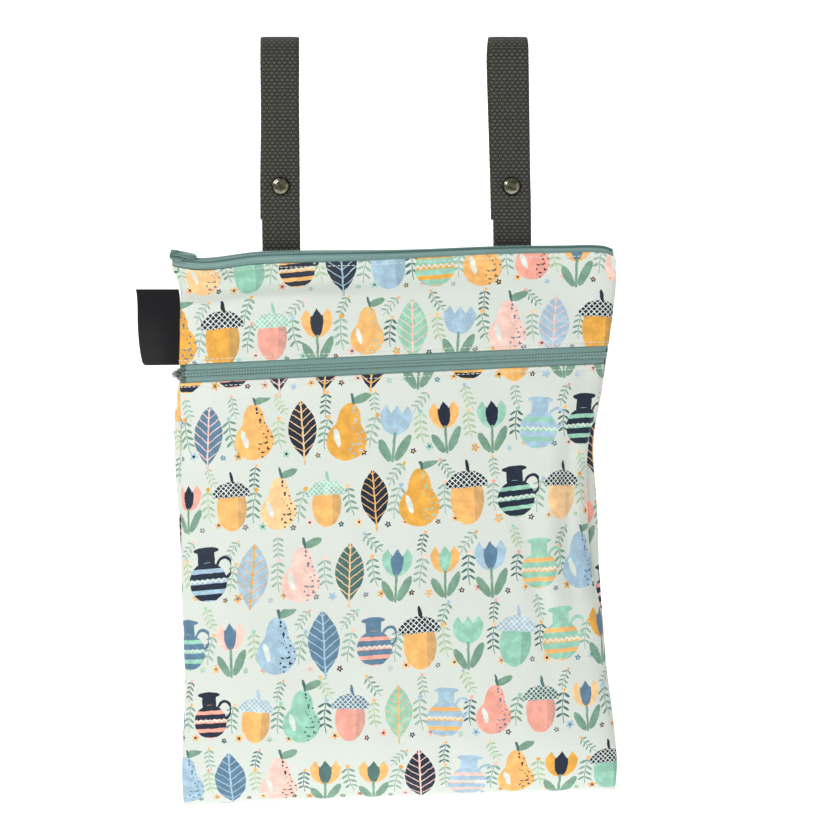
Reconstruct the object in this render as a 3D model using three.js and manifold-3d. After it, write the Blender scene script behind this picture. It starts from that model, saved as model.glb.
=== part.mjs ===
// Zipped cloth wet bag that hangs from a bar by two snapped webbing loops.
// Millimetres, +Z up, +X to the right as the front is seen, and the front faces -Y.
// The origin is the axis of the bar that the loops hang on, midway between them.

import * as THREE from 'three';
import { mergeVertices } from 'three/addons/utils/BufferGeometryUtils.js';
import Module from 'manifold-3d';

// The bar that the loops are made for, and the play that stiff webbing leaves round it
const barDiameter = 25.4;
const loopSlack = 1.6;

// Webbing loops
const strapWidth = 25;
const strapThickness = 1.5;
const strapSpacing = 149.5;
const snapDrop = 82.5; // bar's axis to the snaps
const strapTail = 21; // free end below its snap
const strapSewn = 26; // lower end sewn flat on the back
const strapLift = 0.45; // clearance under the sewn end
const snapFlat = 1; // straight webbing past a snap's rim
const loopStart = 185; // degrees round the bar, from behind it, where the front run reaches it
const loopEnd = -5;

// Snaps
const snapDiameter = 12;
const snapPost = 4;
const snapStack = 3.3; // between the two runs of a loop
const capHeight = 2.1;
const socketDepth = 0.8;
const studBack = 1.1;
const tipRise = 0.1; // of the stud's tip towards its rim

// Bag
const bagWidth = 290;
const bagHeight = 356;
const bagDepth = 58;
const topDrop = 123; // bar's axis to the ridge of the top zip
const clothThickness = 1.2;
const bottomRound = 42; // height over which front and back close onto the bottom seam

// Zips
const zipShowing = 12; // from folded cloth edge to folded cloth edge
const topZipDrop = 5.4; // ridge down to the cloth's edge, front and back
const frontZipDrop = 75; // ridge of the top zip down to the middle of the front zip
const tapeThickness = 1;
const tapeHidden = 6; // how far a tape runs in behind the cloth
const tapeParting = 1.8; // between the two tapes, under the coil
const coilWidth = 4.2;
const coilHeight = 1.4;
const coilRounding = 0.4; // share of its height that its edges lose
const coilReach = 0.975; // end of the top coil, as a share of half the bag's width
const zipRoll = 48; // degrees that the top zip rolls forward at its slider
const rollCentre = 6.5; // its turning line, below the ridge
const rollReach = 27; // distance from that line at which the roll has faded out
const tapeTurn = 14; // degrees round the ridge at which the tapes' inner edges lie
const partedTurn = 31; // the same at the slider, whose post parts the tapes
const zipTurn = 60; // degrees that the front zip's left end turns back to the side seam

// Sliders
const sliderLength = 9.6;
const sliderWidth = 7.6;
const sliderPlate = 1.1;
const sliderWall = 0.9;
const flangeLength = 4.5;
const flangePlace = 1.35; // from the slider's middle, towards the closed coil
const footLength = 4.6;
const footPlace = 0.9;
const footWidth = 2.4;
const postWidth = 1;
const postLength = 1.6;
const postPlace = 0.4; // from the slider's middle, where the coil ends
const hingePlace = -2; // from the slider's middle, towards its mouth
const hingeHeight = 1.7; // above the slider's plate
const bridgeWidth = 1.3;
const bridgeWall = 0.9;
const tunnelHalf = 1.05;

// Pulls
const pullLength = 15;
const pullWidth = 4.8;
const pullThickness = 1.1;
const pullEye = 3.2; // hinge to the far end of the pull's eye
const pullNose = 0.6; // share of its half width that its ends keep
const topPullTurn = -7; // degrees from lying flat over the coil
const frontPullTurn = 196;

// Label
const labelWidth = 28;
const labelHeight = 47;
const labelThickness = 1;
const labelDrop = 22; // ridge of the top zip down to its upper edge
const labelTwist = 27; // degrees that its lower end turns back
const labelCorner = 2.6;
const labelRoundShare = 0.9; // 1 is a full quarter round

// Clearance between pieces that touch
const seat = 0.3;

// Rows of a table whose columns are named once
function table(columns, rows) {
  return rows.map((row) => Object.fromEntries(row.map((value, k) => [columns[k], value])));
}

// Sections of the bag. down is a share of bagHeight. left and right are the side seams, leftOut and
// rightOut how far the back stands out past them, and rise the climb to the right, all as shares of
// half the bag's width. front and back are shares of bagDepth. A low fullness is a boxy section.
const sectionColumns = [
  'down', 'left', 'right', 'leftOut', 'rightOut', 'front', 'back', 'fullness', 'rise',
];
const sections = table(sectionColumns, [
  [0.00, 1.004, 0.984, 0.000, 0.000, 0.094, 0.094, 0.10, 0.016],
  [0.03, 0.994, 0.988, 0.000, 0.006, 0.112, 0.115, 0.20, 0.020],
  [0.07, 0.964, 0.984, 0.000, 0.012, 0.165, 0.175, 0.42, 0.027],
  [0.13, 0.963, 0.974, 0.002, 0.008, 0.235, 0.255, 0.58, 0.036],
  [0.20, 0.967, 0.955, 0.002, 0.000, 0.300, 0.330, 0.68, 0.045],
  [0.28, 0.960, 0.922, 0.033, 0.008, 0.360, 0.390, 0.75, 0.045],
  [0.37, 0.958, 0.866, 0.034, 0.027, 0.420, 0.430, 0.80, 0.044],
  [0.47, 0.957, 0.862, 0.018, 0.041, 0.460, 0.455, 0.80, 0.043],
  [0.58, 0.957, 0.876, 0.003, 0.038, 0.485, 0.470, 0.80, 0.041],
  [0.68, 0.949, 0.924, 0.002, 0.012, 0.490, 0.470, 0.78, 0.040],
  [0.78, 0.941, 0.949, 0.002, 0.002, 0.480, 0.460, 0.74, 0.039],
  [0.88, 0.950, 0.980, 0.003, 0.002, 0.440, 0.420, 0.70, 0.037],
  [0.95, 0.954, 0.995, 0.002, 0.000, 0.380, 0.360, 0.66, 0.036],
  [1.00, 0.948, 0.988, 0.000, 0.000, 0.320, 0.300, 0.62, 0.036],
]);

// The top zip along the bag: lift of its ridge as a share of bagHeight, roll as a share of zipRoll
const ridgeRows = [
  { across: -1.00, lift: -0.0005, roll: 1.00 },
  { across: -0.85, lift: -0.0072, roll: 1.00 },
  { across: -0.62, lift: 0.0020, roll: 0.95 },
  { across: -0.40, lift: 0.0020, roll: 0.75 },
  { across: -0.20, lift: 0.0005, roll: 0.55 },
  { across: 0.05, lift: -0.0004, roll: 0.25 },
  { across: 0.45, lift: 0.0030, roll: 0.10 },
  { across: 0.74, lift: 0.0025, roll: 0.04 },
  { across: 0.93, lift: 0.0010, roll: 0.00 },
  { across: 1.00, lift: -0.0105, roll: 0.00 },
];

// Folds and dents. across is a share of half the bag's width, down and length are shares of
// bagHeight, width a share of bagWidth, and out a share of bagDepth. lean is in degrees.
const folds = [
  { side: 'front', across: 0.89, down: 0.48, length: 0.21, width: 0.022, out: -0.070, lean: 2 },
  { side: 'front', across: 0.79, down: 0.52, length: 0.24, width: 0.024, out: 0.034, lean: 3 },
  { side: 'front', across: 0.70, down: 0.64, length: 0.20, width: 0.028, out: -0.038, lean: -8 },
  { side: 'front', across: -0.86, down: 0.69, length: 0.12, width: 0.030, out: -0.042, lean: 6 },
  { side: 'front', across: -0.90, down: 0.36, length: 0.15, width: 0.024, out: -0.046, lean: -4 },
  { side: 'front', across: 0.60, down: 0.31, length: 0.11, width: 0.030, out: -0.030, lean: 38 },
  { side: 'front', across: -0.50, down: 0.30, length: 0.09, width: 0.034, out: -0.022, lean: -30 },
  { side: 'front', across: 0.10, down: 0.60, length: 0.22, width: 0.075, out: 0.030, lean: 12 },
  { side: 'front', across: -0.55, down: 0.93, length: 0.05, width: 0.030, out: -0.034, lean: 14 },
  { side: 'front', across: 0.25, down: 0.94, length: 0.05, width: 0.028, out: -0.030, lean: -12 },
  { side: 'back', across: -0.72, down: 0.42, length: 0.24, width: 0.030, out: -0.060, lean: 4 },
  { side: 'back', across: 0.70, down: 0.50, length: 0.22, width: 0.030, out: -0.064, lean: -4 },
  { side: 'back', across: -0.30, down: 0.22, length: 0.12, width: 0.040, out: -0.034, lean: -22 },
  { side: 'back', across: 0.34, down: 0.24, length: 0.12, width: 0.040, out: -0.034, lean: 22 },
  { side: 'back', across: 0.05, down: 0.64, length: 0.20, width: 0.075, out: 0.028, lean: -8 },
  { side: 'back', across: 0.40, down: 0.93, length: 0.05, width: 0.030, out: -0.032, lean: 10 },
];

// Loops. atBar and atBag are shares of half the straps' spacing.
const loops = [
  { name: 'left', atBar: -0.992, atBag: -0.992 },
  { name: 'right', atBar: 0.985, atBag: 1.024 },
];

// Radii of a snap's parts, as shares of the snap's and of its post's
const snapShares = { socket: 0.86, base: 0.8, backRim: 0.84, backFace: 0.6, socketHole: 0.9, tip: 0.7 };

// Outline of a slider's plate, from its narrow end to its mouth, as shares of length and half width
const sliderOutline = [
  { along: 0.00, half: 0.42 },
  { along: 0.10, half: 0.62 },
  { along: 0.45, half: 0.80 },
  { along: 0.80, half: 1.00 },
  { along: 0.94, half: 0.88 },
  { along: 1.00, half: 0.50 },
];

// Outline of a snap's cap, from its underside to its crown, as shares of its radius and height
const capProfile = [
  { radius: 0.96, height: 0.00 },
  { radius: 1.00, height: 0.28 },
  { radius: 0.93, height: 0.52 },
  { radius: 0.80, height: 0.56 },
  { radius: 0.74, height: 0.72 },
  { radius: 0.45, height: 0.95 },
  { radius: 0.00, height: 1.00 },
];

// Rows of the label, as shares of its height, closer together at its rounded corner
const labelRows = [0, 0.14, 0.28, 0.42, 0.56, 0.7, 0.84, 0.945, 0.967, 0.987, 1];

// How the back stands out past the side seams: its size, and how close it keeps to them
const bulgeShare = 3.7;
const bulgePower = 8;

// How far down the lift of the top zip's ridge fades out, as a share of bagHeight
const ridgeFadeShare = 0.08;

// How finely the shapes are faceted
const sheetColumns = 24;
const turnColumns = 2; // of them, in the turned end of the front zip
const loopPoints = 42;
const roundSides = 16;

const halfWidth = bagWidth / 2;
const tapeInset = clothThickness + seat;
const topEdge = topZipDrop / bagHeight;
const frontZip = frontZipDrop / bagHeight;
const zipHalf = zipShowing / 2 / bagHeight;
const hidden = tapeHidden / bagHeight;
const topSliderX = -halfWidth + sliderLength * 0.4; // its end stands out past the seam
const turnAcross = -1 + 2 * turnColumns / sheetColumns;
const loopRadius = barDiameter / 2 + loopSlack + strapThickness / 2;

const clamp = THREE.MathUtils.clamp;
const lerp = THREE.MathUtils.lerp;
const radians = THREE.MathUtils.degToRad;

// Smooth value of a table's column at a place, as a cubic through the rows
function along(table, key, column, place) {
  const last = table.length - 1;
  const at = clamp(place, table[0][key], table[last][key]);
  let row = 0;
  while (row < last - 1 && table[row + 1][key] < at) row += 1;
  const slope = (index) => {
    const before = table[Math.max(index - 1, 0)];
    const after = table[Math.min(index + 1, last)];
    return (after[column] - before[column]) / (after[key] - before[key]);
  };
  const span = table[row + 1][key] - table[row][key];
  const t = (at - table[row][key]) / span;
  const start = table[row][column];
  const end = table[row + 1][column];
  const rest = 1 - t;
  return (1 + 2 * t) * rest * rest * start + t * rest * rest * span * slope(row)
    + t * t * (3 - 2 * t) * end - t * t * rest * span * slope(row + 1);
}

// Height that a fold adds to the cloth at a place on one side
function foldHeight(side, across, down) {
  let height = 0;
  for (const fold of folds) {
    if (fold.side !== side) continue;
    const sideways = (across - fold.across) * halfWidth;
    const downward = (down - fold.down) * bagHeight;
    const lean = radians(fold.lean);
    const beside = sideways * Math.cos(lean) + downward * Math.sin(lean);
    const lengthwise = downward * Math.cos(lean) - sideways * Math.sin(lean);
    const fromMiddle = beside / (fold.width * bagWidth);
    const fromEnds = lengthwise / (fold.length * bagHeight);
    height += fold.out * bagDepth * Math.exp(-(fromMiddle ** 2) - (fromEnds ** 2));
  }
  return height;
}

// Height of a level of the bag at a distance from its middle
function levelHeight(down, x) {
  const ridge = along(ridgeRows, 'across', 'lift', x / halfWidth) * bagHeight;
  const fade = Math.exp(-((down / ridgeFadeShare) ** 2));
  return -topDrop - down * bagHeight + along(sections, 'down', 'rise', down) * x + ridge * fade;
}

// How open the bag is at a level: it closes on the ridge above and on the bottom seam below
function opening(down) {
  const roof = clamp((topEdge - down) / topEdge, 0, 1);
  const floor = clamp((down - 1 + bottomRound / bagHeight) / (bottomRound / bagHeight), 0, 1);
  return Math.sqrt((1 - roof * roof) * (1 - floor * floor));
}

// Outer face of the bag. across runs from -1 at the left seam to 1 at the right one.
function skin(side, across, down) {
  const angle = across * Math.PI / 2;
  const row = (column) => along(sections, 'down', column, down);
  const edge = across < 0 ? row('left') : row('right');
  const out = side === 'back' ? (across < 0 ? row('leftOut') : row('rightOut')) : 0;
  const hump = bulgeShare * Math.sqrt(Math.max(Math.cos(angle), 0)) * Math.sin(Math.abs(angle)) ** bulgePower;
  const x = halfWidth * (edge * Math.sin(angle) + Math.sign(across) * out * hump);
  const dome = Math.max(Math.cos(angle), 0) ** row('fullness') * opening(down);
  const sideways = Math.sin(angle);
  const depth = dome * Math.max(row(side) * bagDepth + foldHeight(side, sideways, down), 0);
  const y = side === 'front' ? -depth : depth;
  return new THREE.Vector3(x, y, levelHeight(down, x));
}

// Inward direction of the skin, read a little inside its edges
function inward(side, across, down) {
  const step = 0.004;
  const sideLimit = 0.955;
  const bottomLimit = 0.985;
  const u = clamp(across, -sideLimit, sideLimit);
  const v = clamp(down, step, bottomLimit);
  const sideStep = skin(side, u + step, v).sub(skin(side, u - step, v));
  const downStep = skin(side, u, v + step / 2).sub(skin(side, u, v - step / 2));
  const normal = sideStep.cross(downStep).normalize();
  return side === 'front' ? normal : normal.negate();
}

// The top zip's roll: a turn about a line below the ridge, fading with distance from it
function roll(point) {
  const across = clamp(point.x / halfWidth, -1, 1);
  const centre = levelHeight(0, point.x) - rollCentre;
  const height = point.z - centre;
  const reach = clamp((Math.hypot(point.y, height) - rollCentre) / (rollReach - rollCentre), 0, 1);
  const fade = (1 - reach) ** 2 * (1 + 2 * reach);
  const turn = radians(zipRoll) * along(ridgeRows, 'across', 'roll', across) * fade;
  return new THREE.Vector3(
    point.x,
    point.y * Math.cos(turn) - height * Math.sin(turn),
    centre + point.y * Math.sin(turn) + height * Math.cos(turn),
  );
}

// A point under the skin at a depth, kept on its own side of the seams
function under(side, across, down, depth) {
  const point = skin(side, across, down).addScaledVector(inward(side, across, down), depth);
  const limit = seat / 2;
  point.y = side === 'front' ? Math.min(point.y, -limit) : Math.max(point.y, limit);
  return roll(point);
}

// Closed mesh from corner points and triangles, turned so that its faces point out
function closedMesh(points, triangles) {
  const position = [];
  points.forEach((point) => position.push(point.x, point.y, point.z));
  let volume = 0;
  for (const [a, b, c] of triangles) {
    volume += points[a].dot(new THREE.Vector3().crossVectors(points[b], points[c]));
  }
  const index = triangles.flatMap(([a, b, c]) => (volume < 0 ? [a, c, b] : [a, b, c]));
  const geometry = new THREE.BufferGeometry();
  geometry.setAttribute('position', new THREE.Float32BufferAttribute(position, 3));
  geometry.setIndex(index);
  return geometry;
}

// Closed sheet between an outer and an inner face, both given over columns and rows from 0 to 1
function sheet(outer, inner, columns, rows) {
  const points = [];
  for (const face of [outer, inner]) {
    for (let j = 0; j <= rows; j += 1) {
      for (let i = 0; i <= columns; i += 1) points.push(face(i / columns, j / rows));
    }
  }
  const faceSize = (columns + 1) * (rows + 1);
  const at = (face, i, j) => face * faceSize + j * (columns + 1) + i;
  const triangles = [];
  const quad = (a, b, c, d) => triangles.push([a, b, c], [a, c, d]);
  for (let j = 0; j < rows; j += 1) {
    for (let i = 0; i < columns; i += 1) {
      quad(at(0, i, j), at(0, i + 1, j), at(0, i + 1, j + 1), at(0, i, j + 1));
      quad(at(1, i, j), at(1, i, j + 1), at(1, i + 1, j + 1), at(1, i + 1, j));
    }
  }
  for (let i = 0; i < columns; i += 1) {
    quad(at(0, i, 0), at(1, i, 0), at(1, i + 1, 0), at(0, i + 1, 0));
    quad(at(0, i, rows), at(0, i + 1, rows), at(1, i + 1, rows), at(1, i, rows));
  }
  for (let j = 0; j < rows; j += 1) {
    quad(at(0, 0, j), at(0, 0, j + 1), at(1, 0, j + 1), at(1, 0, j));
    quad(at(0, columns, j), at(1, columns, j), at(1, columns, j + 1), at(0, columns, j + 1));
  }
  return closedMesh(points, triangles);
}

// Closed sheet between two depths under the skin, with a row of facets at each level
function skinSheet(side, levels, near, far) {
  const rows = levels.length - 1;
  const face = (depth) => (i, j) => under(side, 2 * i - 1, levels[Math.round(j * rows)], depth);
  return sheet(face(near), face(far), sheetColumns, rows);
}

const wasm = await Module();
wasm.setup();

function toSolid(geometry) {
  const bare = geometry.clone();
  bare.deleteAttribute('normal');
  bare.deleteAttribute('uv');
  const merged = mergeVertices(bare, 1e-4);
  return new wasm.Manifold(new wasm.Mesh({
    numProp: 3,
    vertProperties: new Float32Array(merged.attributes.position.array),
    triVerts: new Uint32Array(merged.index.array),
  }));
}

function fromSolid(solid) {
  const mesh = solid.getMesh();
  const geometry = new THREE.BufferGeometry();
  geometry.setAttribute('position', new THREE.BufferAttribute(mesh.vertProperties, 3));
  geometry.setIndex(new THREE.BufferAttribute(mesh.triVerts, 1));
  return geometry;
}

const finishes = {
  cloth: { color: 0xe6ecdf, roughness: 0.55, metalness: 0 },
  tape: { color: 0x7fa39b, roughness: 0.85, metalness: 0 },
  coil: { color: 0x6f938c, roughness: 0.5, metalness: 0 },
  tealMetal: { color: 0x7c9f98, roughness: 0.4, metalness: 0.2 },
  greyMetal: { color: 0x9aa3a0, roughness: 0.35, metalness: 0.9 },
  webbing: { color: 0x535350, roughness: 0.9, metalness: 0 },
  snapMetal: { color: 0x4a4a42, roughness: 0.3, metalness: 0.95 },
  label: { color: 0x1c1c1f, roughness: 0.5, metalness: 0 },
};

const bag = new THREE.Group();

function add(name, geometry, finish) {
  const mesh = new THREE.Mesh(geometry, new THREE.MeshStandardMaterial(finishes[finish]));
  mesh.name = name;
  bag.add(mesh);
  return mesh;
}

// Levels of the rows of facets. Front, back and tapes share them, so that their facets match.
const evenly = (start, end, count, ease = (t) => t) => (
  Array.from({ length: count }, (_, k) => lerp(start, end, ease(k / (count - 1))))
);
const upperEnd = frontZip - zipHalf;
const lowerStart = frontZip + zipHalf;
const upperLevels = [topEdge, ...evenly(topEdge + hidden, upperEnd - hidden, 6), upperEnd];
const towardsSeam = (t) => 1 - (1 - t) ** 1.5;
const lowerLevels = [lowerStart, ...evenly(lowerStart + hidden, 1, 19, towardsSeam)];

// Cloth
function addCloth() {
  add('front_upper_panel', skinSheet('front', upperLevels, 0, clothThickness), 'cloth');
  add('front_lower_panel', skinSheet('front', lowerLevels, 0, clothThickness), 'cloth');
  const backLevels = [...upperLevels, frontZip, ...lowerLevels];
  add('back_panel', skinSheet('back', backLevels, 0, clothThickness), 'cloth');
}

// Height of a coil over its seat, rounded off towards its edges at -1 and 1
const coilCrown = (place) => coilHeight * (1 - coilRounding * place ** 4);

// Top zip: two tapes that meet on the ridge, and the coil over their meeting
function addTopZip() {
  const rows = 5;
  const levelAt = (across, row) => {
    const first = ridgeX(across) < topSliderX + sliderLength ? partedTurn : tapeTurn;
    const turn = lerp(first, 90, Math.min(row / (rows - 1), 1));
    return row < rows ? topEdge * (1 - Math.cos(radians(turn))) : topEdge + hidden;
  };
  for (const side of ['front', 'back']) {
    const face = (depth) => (i, j) => {
      const across = 2 * i - 1;
      return under(side, across, levelAt(across, Math.round(j * rows)), depth);
    };
    const tape = sheet(face(tapeInset), face(tapeInset + tapeThickness), sheetColumns, rows);
    add(`top_zip_tape_${side}`, tape, 'tape');
  }
  const ends = [topSliderX + postPlace, halfWidth * coilReach];
  const between = evenly(-1, 1, sheetColumns + 1).map(ridgeX).filter((x) => x > ends[0] && x < ends[1]);
  const stations = [ends[0], ...between, ends[1]];
  const face = (top) => (i, j) => {
    const x = stations[Math.round(i * (stations.length - 1))];
    const place = 2 * j - 1;
    const height = seat + (top ? coilCrown(place) : 0);
    return roll(new THREE.Vector3(x, place * coilWidth / 2, tapeRidge(x) + height));
  };
  add('top_zip_coil', sheet(face(true), face(false), stations.length - 1, 3), 'coil');
}

// Where the tapes' columns of facets lie along the ridge
const ridgeX = (across) => skin('front', across, 0).x;

// Top of the tapes under the top zip's coil
function tapeRidge(x) {
  return levelHeight(0, x) - tapeInset;
}

// A place on the front zip at a depth under the skin. Its left end leaves the skin and turns
// straight back to the side seam.
function zipPlace(across, down, depth) {
  if (across >= turnAcross) return under('front', across, down, depth);
  const start = under('front', turnAcross, down, tapeInset);
  const length = (-seat / 2 - start.y) / Math.sin(radians(zipTurn));
  const share = (turnAcross - across) / (1 + turnAcross);
  const { alongZip, outward } = turnedEnd();
  const point = start.addScaledVector(alongZip, -length * share);
  point.addScaledVector(outward, tapeInset - depth);
  point.y = Math.min(point.y, -seat / 2);
  return point;
}

// Directions of the front zip's turned end: towards the closed coil, and out from the tape
function turnedEnd() {
  const turn = radians(zipTurn);
  return {
    alongZip: new THREE.Vector3(Math.cos(turn), -Math.sin(turn), 0),
    outward: new THREE.Vector3(-Math.sin(turn), -Math.cos(turn), 0),
  };
}

// Front zip: a tape above and below, and the coil over their meeting
function addFrontZip() {
  const parting = tapeParting / 2 / bagHeight;
  const tapes = {
    upper: [upperEnd - hidden, upperEnd, frontZip - parting],
    lower: [frontZip + parting, lowerStart, lowerStart + hidden],
  };
  for (const [name, levels] of Object.entries(tapes)) {
    const rows = levels.length - 1;
    const face = (depth) => (i, j) => zipPlace(2 * i - 1, levels[Math.round(j * rows)], depth);
    const tape = sheet(face(tapeInset), face(tapeInset + tapeThickness), sheetColumns, rows);
    add(`front_zip_tape_${name}`, tape, 'tape');
  }
  const first = turnAcross - (1 + turnAcross) * 0.3;
  const last = 2 / sheetColumns;
  const columns = [first, ...evenly(turnAcross, 1 - last, sheetColumns - turnColumns), 1 - last / 2];
  const face = (top) => (i, j) => {
    const place = 2 * j - 1;
    const down = frontZip + place * coilWidth / 2 / bagHeight;
    const height = seat + (top ? coilCrown(place) : 0);
    return zipPlace(columns[Math.round(i * (columns.length - 1))], down, tapeInset - height);
  };
  add('front_zip_coil', sheet(face(true), face(false), columns.length - 1, 3), 'coil');
}

function block(lengths, centre) {
  return toSolid(new THREE.BoxGeometry(...lengths).translate(...centre));
}

function plate(outline, thickness, base) {
  const shape = new THREE.Shape(outline.map(([x, y]) => new THREE.Vector2(x, y)));
  const geometry = new THREE.ExtrudeGeometry(shape, { depth: thickness, bevelEnabled: false });
  return toSolid(geometry.translate(0, 0, base));
}

// Slider over the coil, in its own frame: X towards the closed coil, Z out from the tape's face
function sliderSolid() {
  const underPlate = seat + coilHeight + seat;
  const plateTop = underPlate + sliderPlate;
  const rim = (side) => sliderOutline.map((row) => (
    [(0.5 - row.along) * sliderLength, side * row.half * sliderWidth / 2]
  ));
  const outline = [...rim(1), ...rim(-1).reverse()];
  let slider = plate(outline, sliderPlate, underPlate);
  const flangeOut = coilWidth / 2 + seat + sliderWall / 2;
  for (const side of [-1, 1]) {
    const flangeHeight = underPlate - seat + sliderPlate / 2;
    const centre = [flangePlace, side * flangeOut, seat + flangeHeight / 2];
    slider = slider.add(block([flangeLength, sliderWall, flangeHeight], centre));
  }
  const footTop = -tapeThickness - 3 * seat;
  const post = postX();
  const postHeight = underPlate + sliderPlate / 2 - footTop + sliderWall / 2;
  const postMiddle = footTop - sliderWall / 2 + postHeight / 2;
  slider = slider.add(block([postLength, postWidth, postHeight], [post, 0, postMiddle]));
  const foot = block([footLength, footWidth, sliderWall], [footPlace, 0, footTop - sliderWall / 2]);
  slider = slider.add(foot);
  const barTop = hingeHeight + tunnelHalf + bridgeWall;
  const bridgeLength = 2 * (tunnelHalf + bridgeWall);
  const bridge = block(
    [bridgeLength, bridgeWidth, barTop + sliderPlate / 2],
    [hingePlace, 0, plateTop + (barTop - sliderPlate / 2) / 2],
  );
  const tunnel = block(
    [2 * tunnelHalf, 2 * bridgeWidth, 2 * tunnelHalf],
    [hingePlace, 0, plateTop + hingeHeight],
  );
  return slider.add(bridge.subtract(tunnel));
}

// The post that parts the tapes stands at the coil's end
function postX() {
  return postPlace - seat - postLength / 2;
}

// Pull in its own frame: its hinge's axis is Y through the origin, and it reaches along X
function pullSolid() {
  const half = pullWidth / 2;
  const bar = tunnelHalf - 2 * seat;
  const nose = half * pullNose;
  const outline = [
    [-bar, -nose], [0, -half], [pullLength - half, -half], [pullLength - half / 3, -nose], [pullLength, 0],
    [pullLength - half / 3, nose], [pullLength - half, half], [0, half], [-bar, nose],
  ];
  const eye = block(
    [pullEye - bar, bridgeWidth + 2 * seat, 2 * pullThickness],
    [(pullEye + bar) / 2, 0, 0],
  );
  return plate(outline, pullThickness, -pullThickness / 2).subtract(eye);
}

// Places a mesh made in its own frame
function seatAt(mesh, origin, xAxis, zAxis) {
  const x = xAxis.clone().normalize();
  const z = zAxis.clone().addScaledVector(x, -zAxis.dot(x)).normalize();
  const y = new THREE.Vector3().crossVectors(z, x);
  mesh.position.copy(origin);
  mesh.quaternion.setFromRotationMatrix(new THREE.Matrix4().makeBasis(x, y, z));
}

function addSlider(name, origin, alongZip, outward, pullTurn, finish) {
  seatAt(add(`${name}_slider`, fromSolid(sliderSolid()), finish), origin, alongZip, outward);
  const hinge = seat + coilHeight + seat + sliderPlate + hingeHeight;
  const x = alongZip.clone().normalize();
  const z = outward.clone().addScaledVector(x, -outward.dot(x)).normalize();
  const centre = origin.clone().addScaledVector(x, hingePlace).addScaledVector(z, hinge);
  const turn = radians(pullTurn);
  const reach = x.clone().multiplyScalar(Math.cos(turn)).addScaledVector(z, Math.sin(turn));
  const up = z.clone().multiplyScalar(Math.cos(turn)).addScaledVector(x, -Math.sin(turn));
  seatAt(add(`${name}_pull`, fromSolid(pullSolid()), finish), centre, reach, up);
}

function addSliders() {
  const onRidge = (x, height) => roll(new THREE.Vector3(x, 0, tapeRidge(x) + height));
  const origin = onRidge(topSliderX, 0);
  const alongTop = onRidge(topSliderX + sliderLength / 2, 0)
    .sub(onRidge(topSliderX - sliderLength / 2, 0));
  addSlider('top_zip', origin, alongTop, onRidge(topSliderX, 1).sub(origin), topPullTurn, 'tealMetal');
  const { alongZip, outward } = turnedEnd();
  const corner = zipPlace(turnAcross, frontZip, tapeInset);
  const place = corner.addScaledVector(alongZip, -sliderLength / 2);
  addSlider('front_zip', place, alongZip, outward, frontPullTurn, 'greyMetal');
}

// Webbing loop: sewn on the back, up in front of the bar, over it, and down behind to its snap
function addLoops() {
  const frontRun = -(snapStack + strapThickness) / 2;
  const backRun = -frontRun;
  const flatHalf = snapDiameter / 2 + snapFlat;
  for (const loop of loops) {
    const straps = strapSpacing / 2;
    const xAt = (z) => straps * lerp(loop.atBar, loop.atBag, clamp(-z / topDrop, 0, 1));
    const sewnX = straps * loop.atBag;
    const acrossAt = (x, down) => {
      const edge = along(sections, 'down', x < 0 ? 'left' : 'right', down);
      return Math.asin(x / halfWidth / edge) / (Math.PI / 2);
    };
    const sewnEnd = topEdge + strapSewn / bagHeight;
    const sewnLevels = [sewnEnd, ...upperLevels.filter((level) => level < sewnEnd).reverse()];
    const onBack = (down, x, height) => under('back', acrossAt(x, down), down, -height);
    const lift = onBack(topEdge, sewnX, strapLift + strapThickness / 2);
    const turns = evenly(loopStart, loopEnd, 10).map((turn) => [
      loopRadius * Math.cos(radians(turn)), loopRadius * Math.sin(radians(turn)),
    ]);
    const route = [
      [lift.y, lift.z],
      [frontRun, -snapDrop - flatHalf],
      [frontRun, -snapDrop + flatHalf],
      ...turns,
      [backRun, -snapDrop + flatHalf],
      [backRun, -snapDrop - flatHalf],
      [backRun + strapThickness, -snapDrop - strapTail],
    ].map(([y, z]) => new THREE.Vector3(0, y, z));
    const path = new THREE.CatmullRomCurve3(route, false, 'centripetal');
    const free = path.getPoints(loopPoints);
    const rows = sewnLevels.length + free.length - 2;
    const face = (side) => (i, j) => {
      const row = Math.round(j * rows);
      const sideways = (i - 0.5) * strapWidth;
      if (row < sewnLevels.length) {
        const height = strapLift + (side > 0 ? strapThickness : 0);
        return onBack(sewnLevels[row], sewnX + sideways, height);
      }
      const index = row - sewnLevels.length + 1;
      const ahead = free[Math.min(index + 1, free.length - 1)];
      const tangent = ahead.clone().sub(free[index - 1]).normalize();
      const point = free[index].clone();
      point.y += side * tangent.z * strapThickness / 2;
      point.z -= side * tangent.y * strapThickness / 2;
      point.x = xAt(point.z) + sideways;
      return point;
    };
    let strap = toSolid(sheet(face(1), face(-1), 2, rows));
    const hole = new THREE.CylinderGeometry(
      snapPost / 2 + seat, snapPost / 2 + seat, 4 * snapStack, roundSides,
    );
    strap = strap.subtract(toSolid(hole.translate(xAt(-snapDrop), 0, -snapDrop)));
    add(`strap_${loop.name}`, fromSolid(strap), 'webbing');
    addSnap(loop.name, xAt(-snapDrop), frontRun);
  }
}

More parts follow.
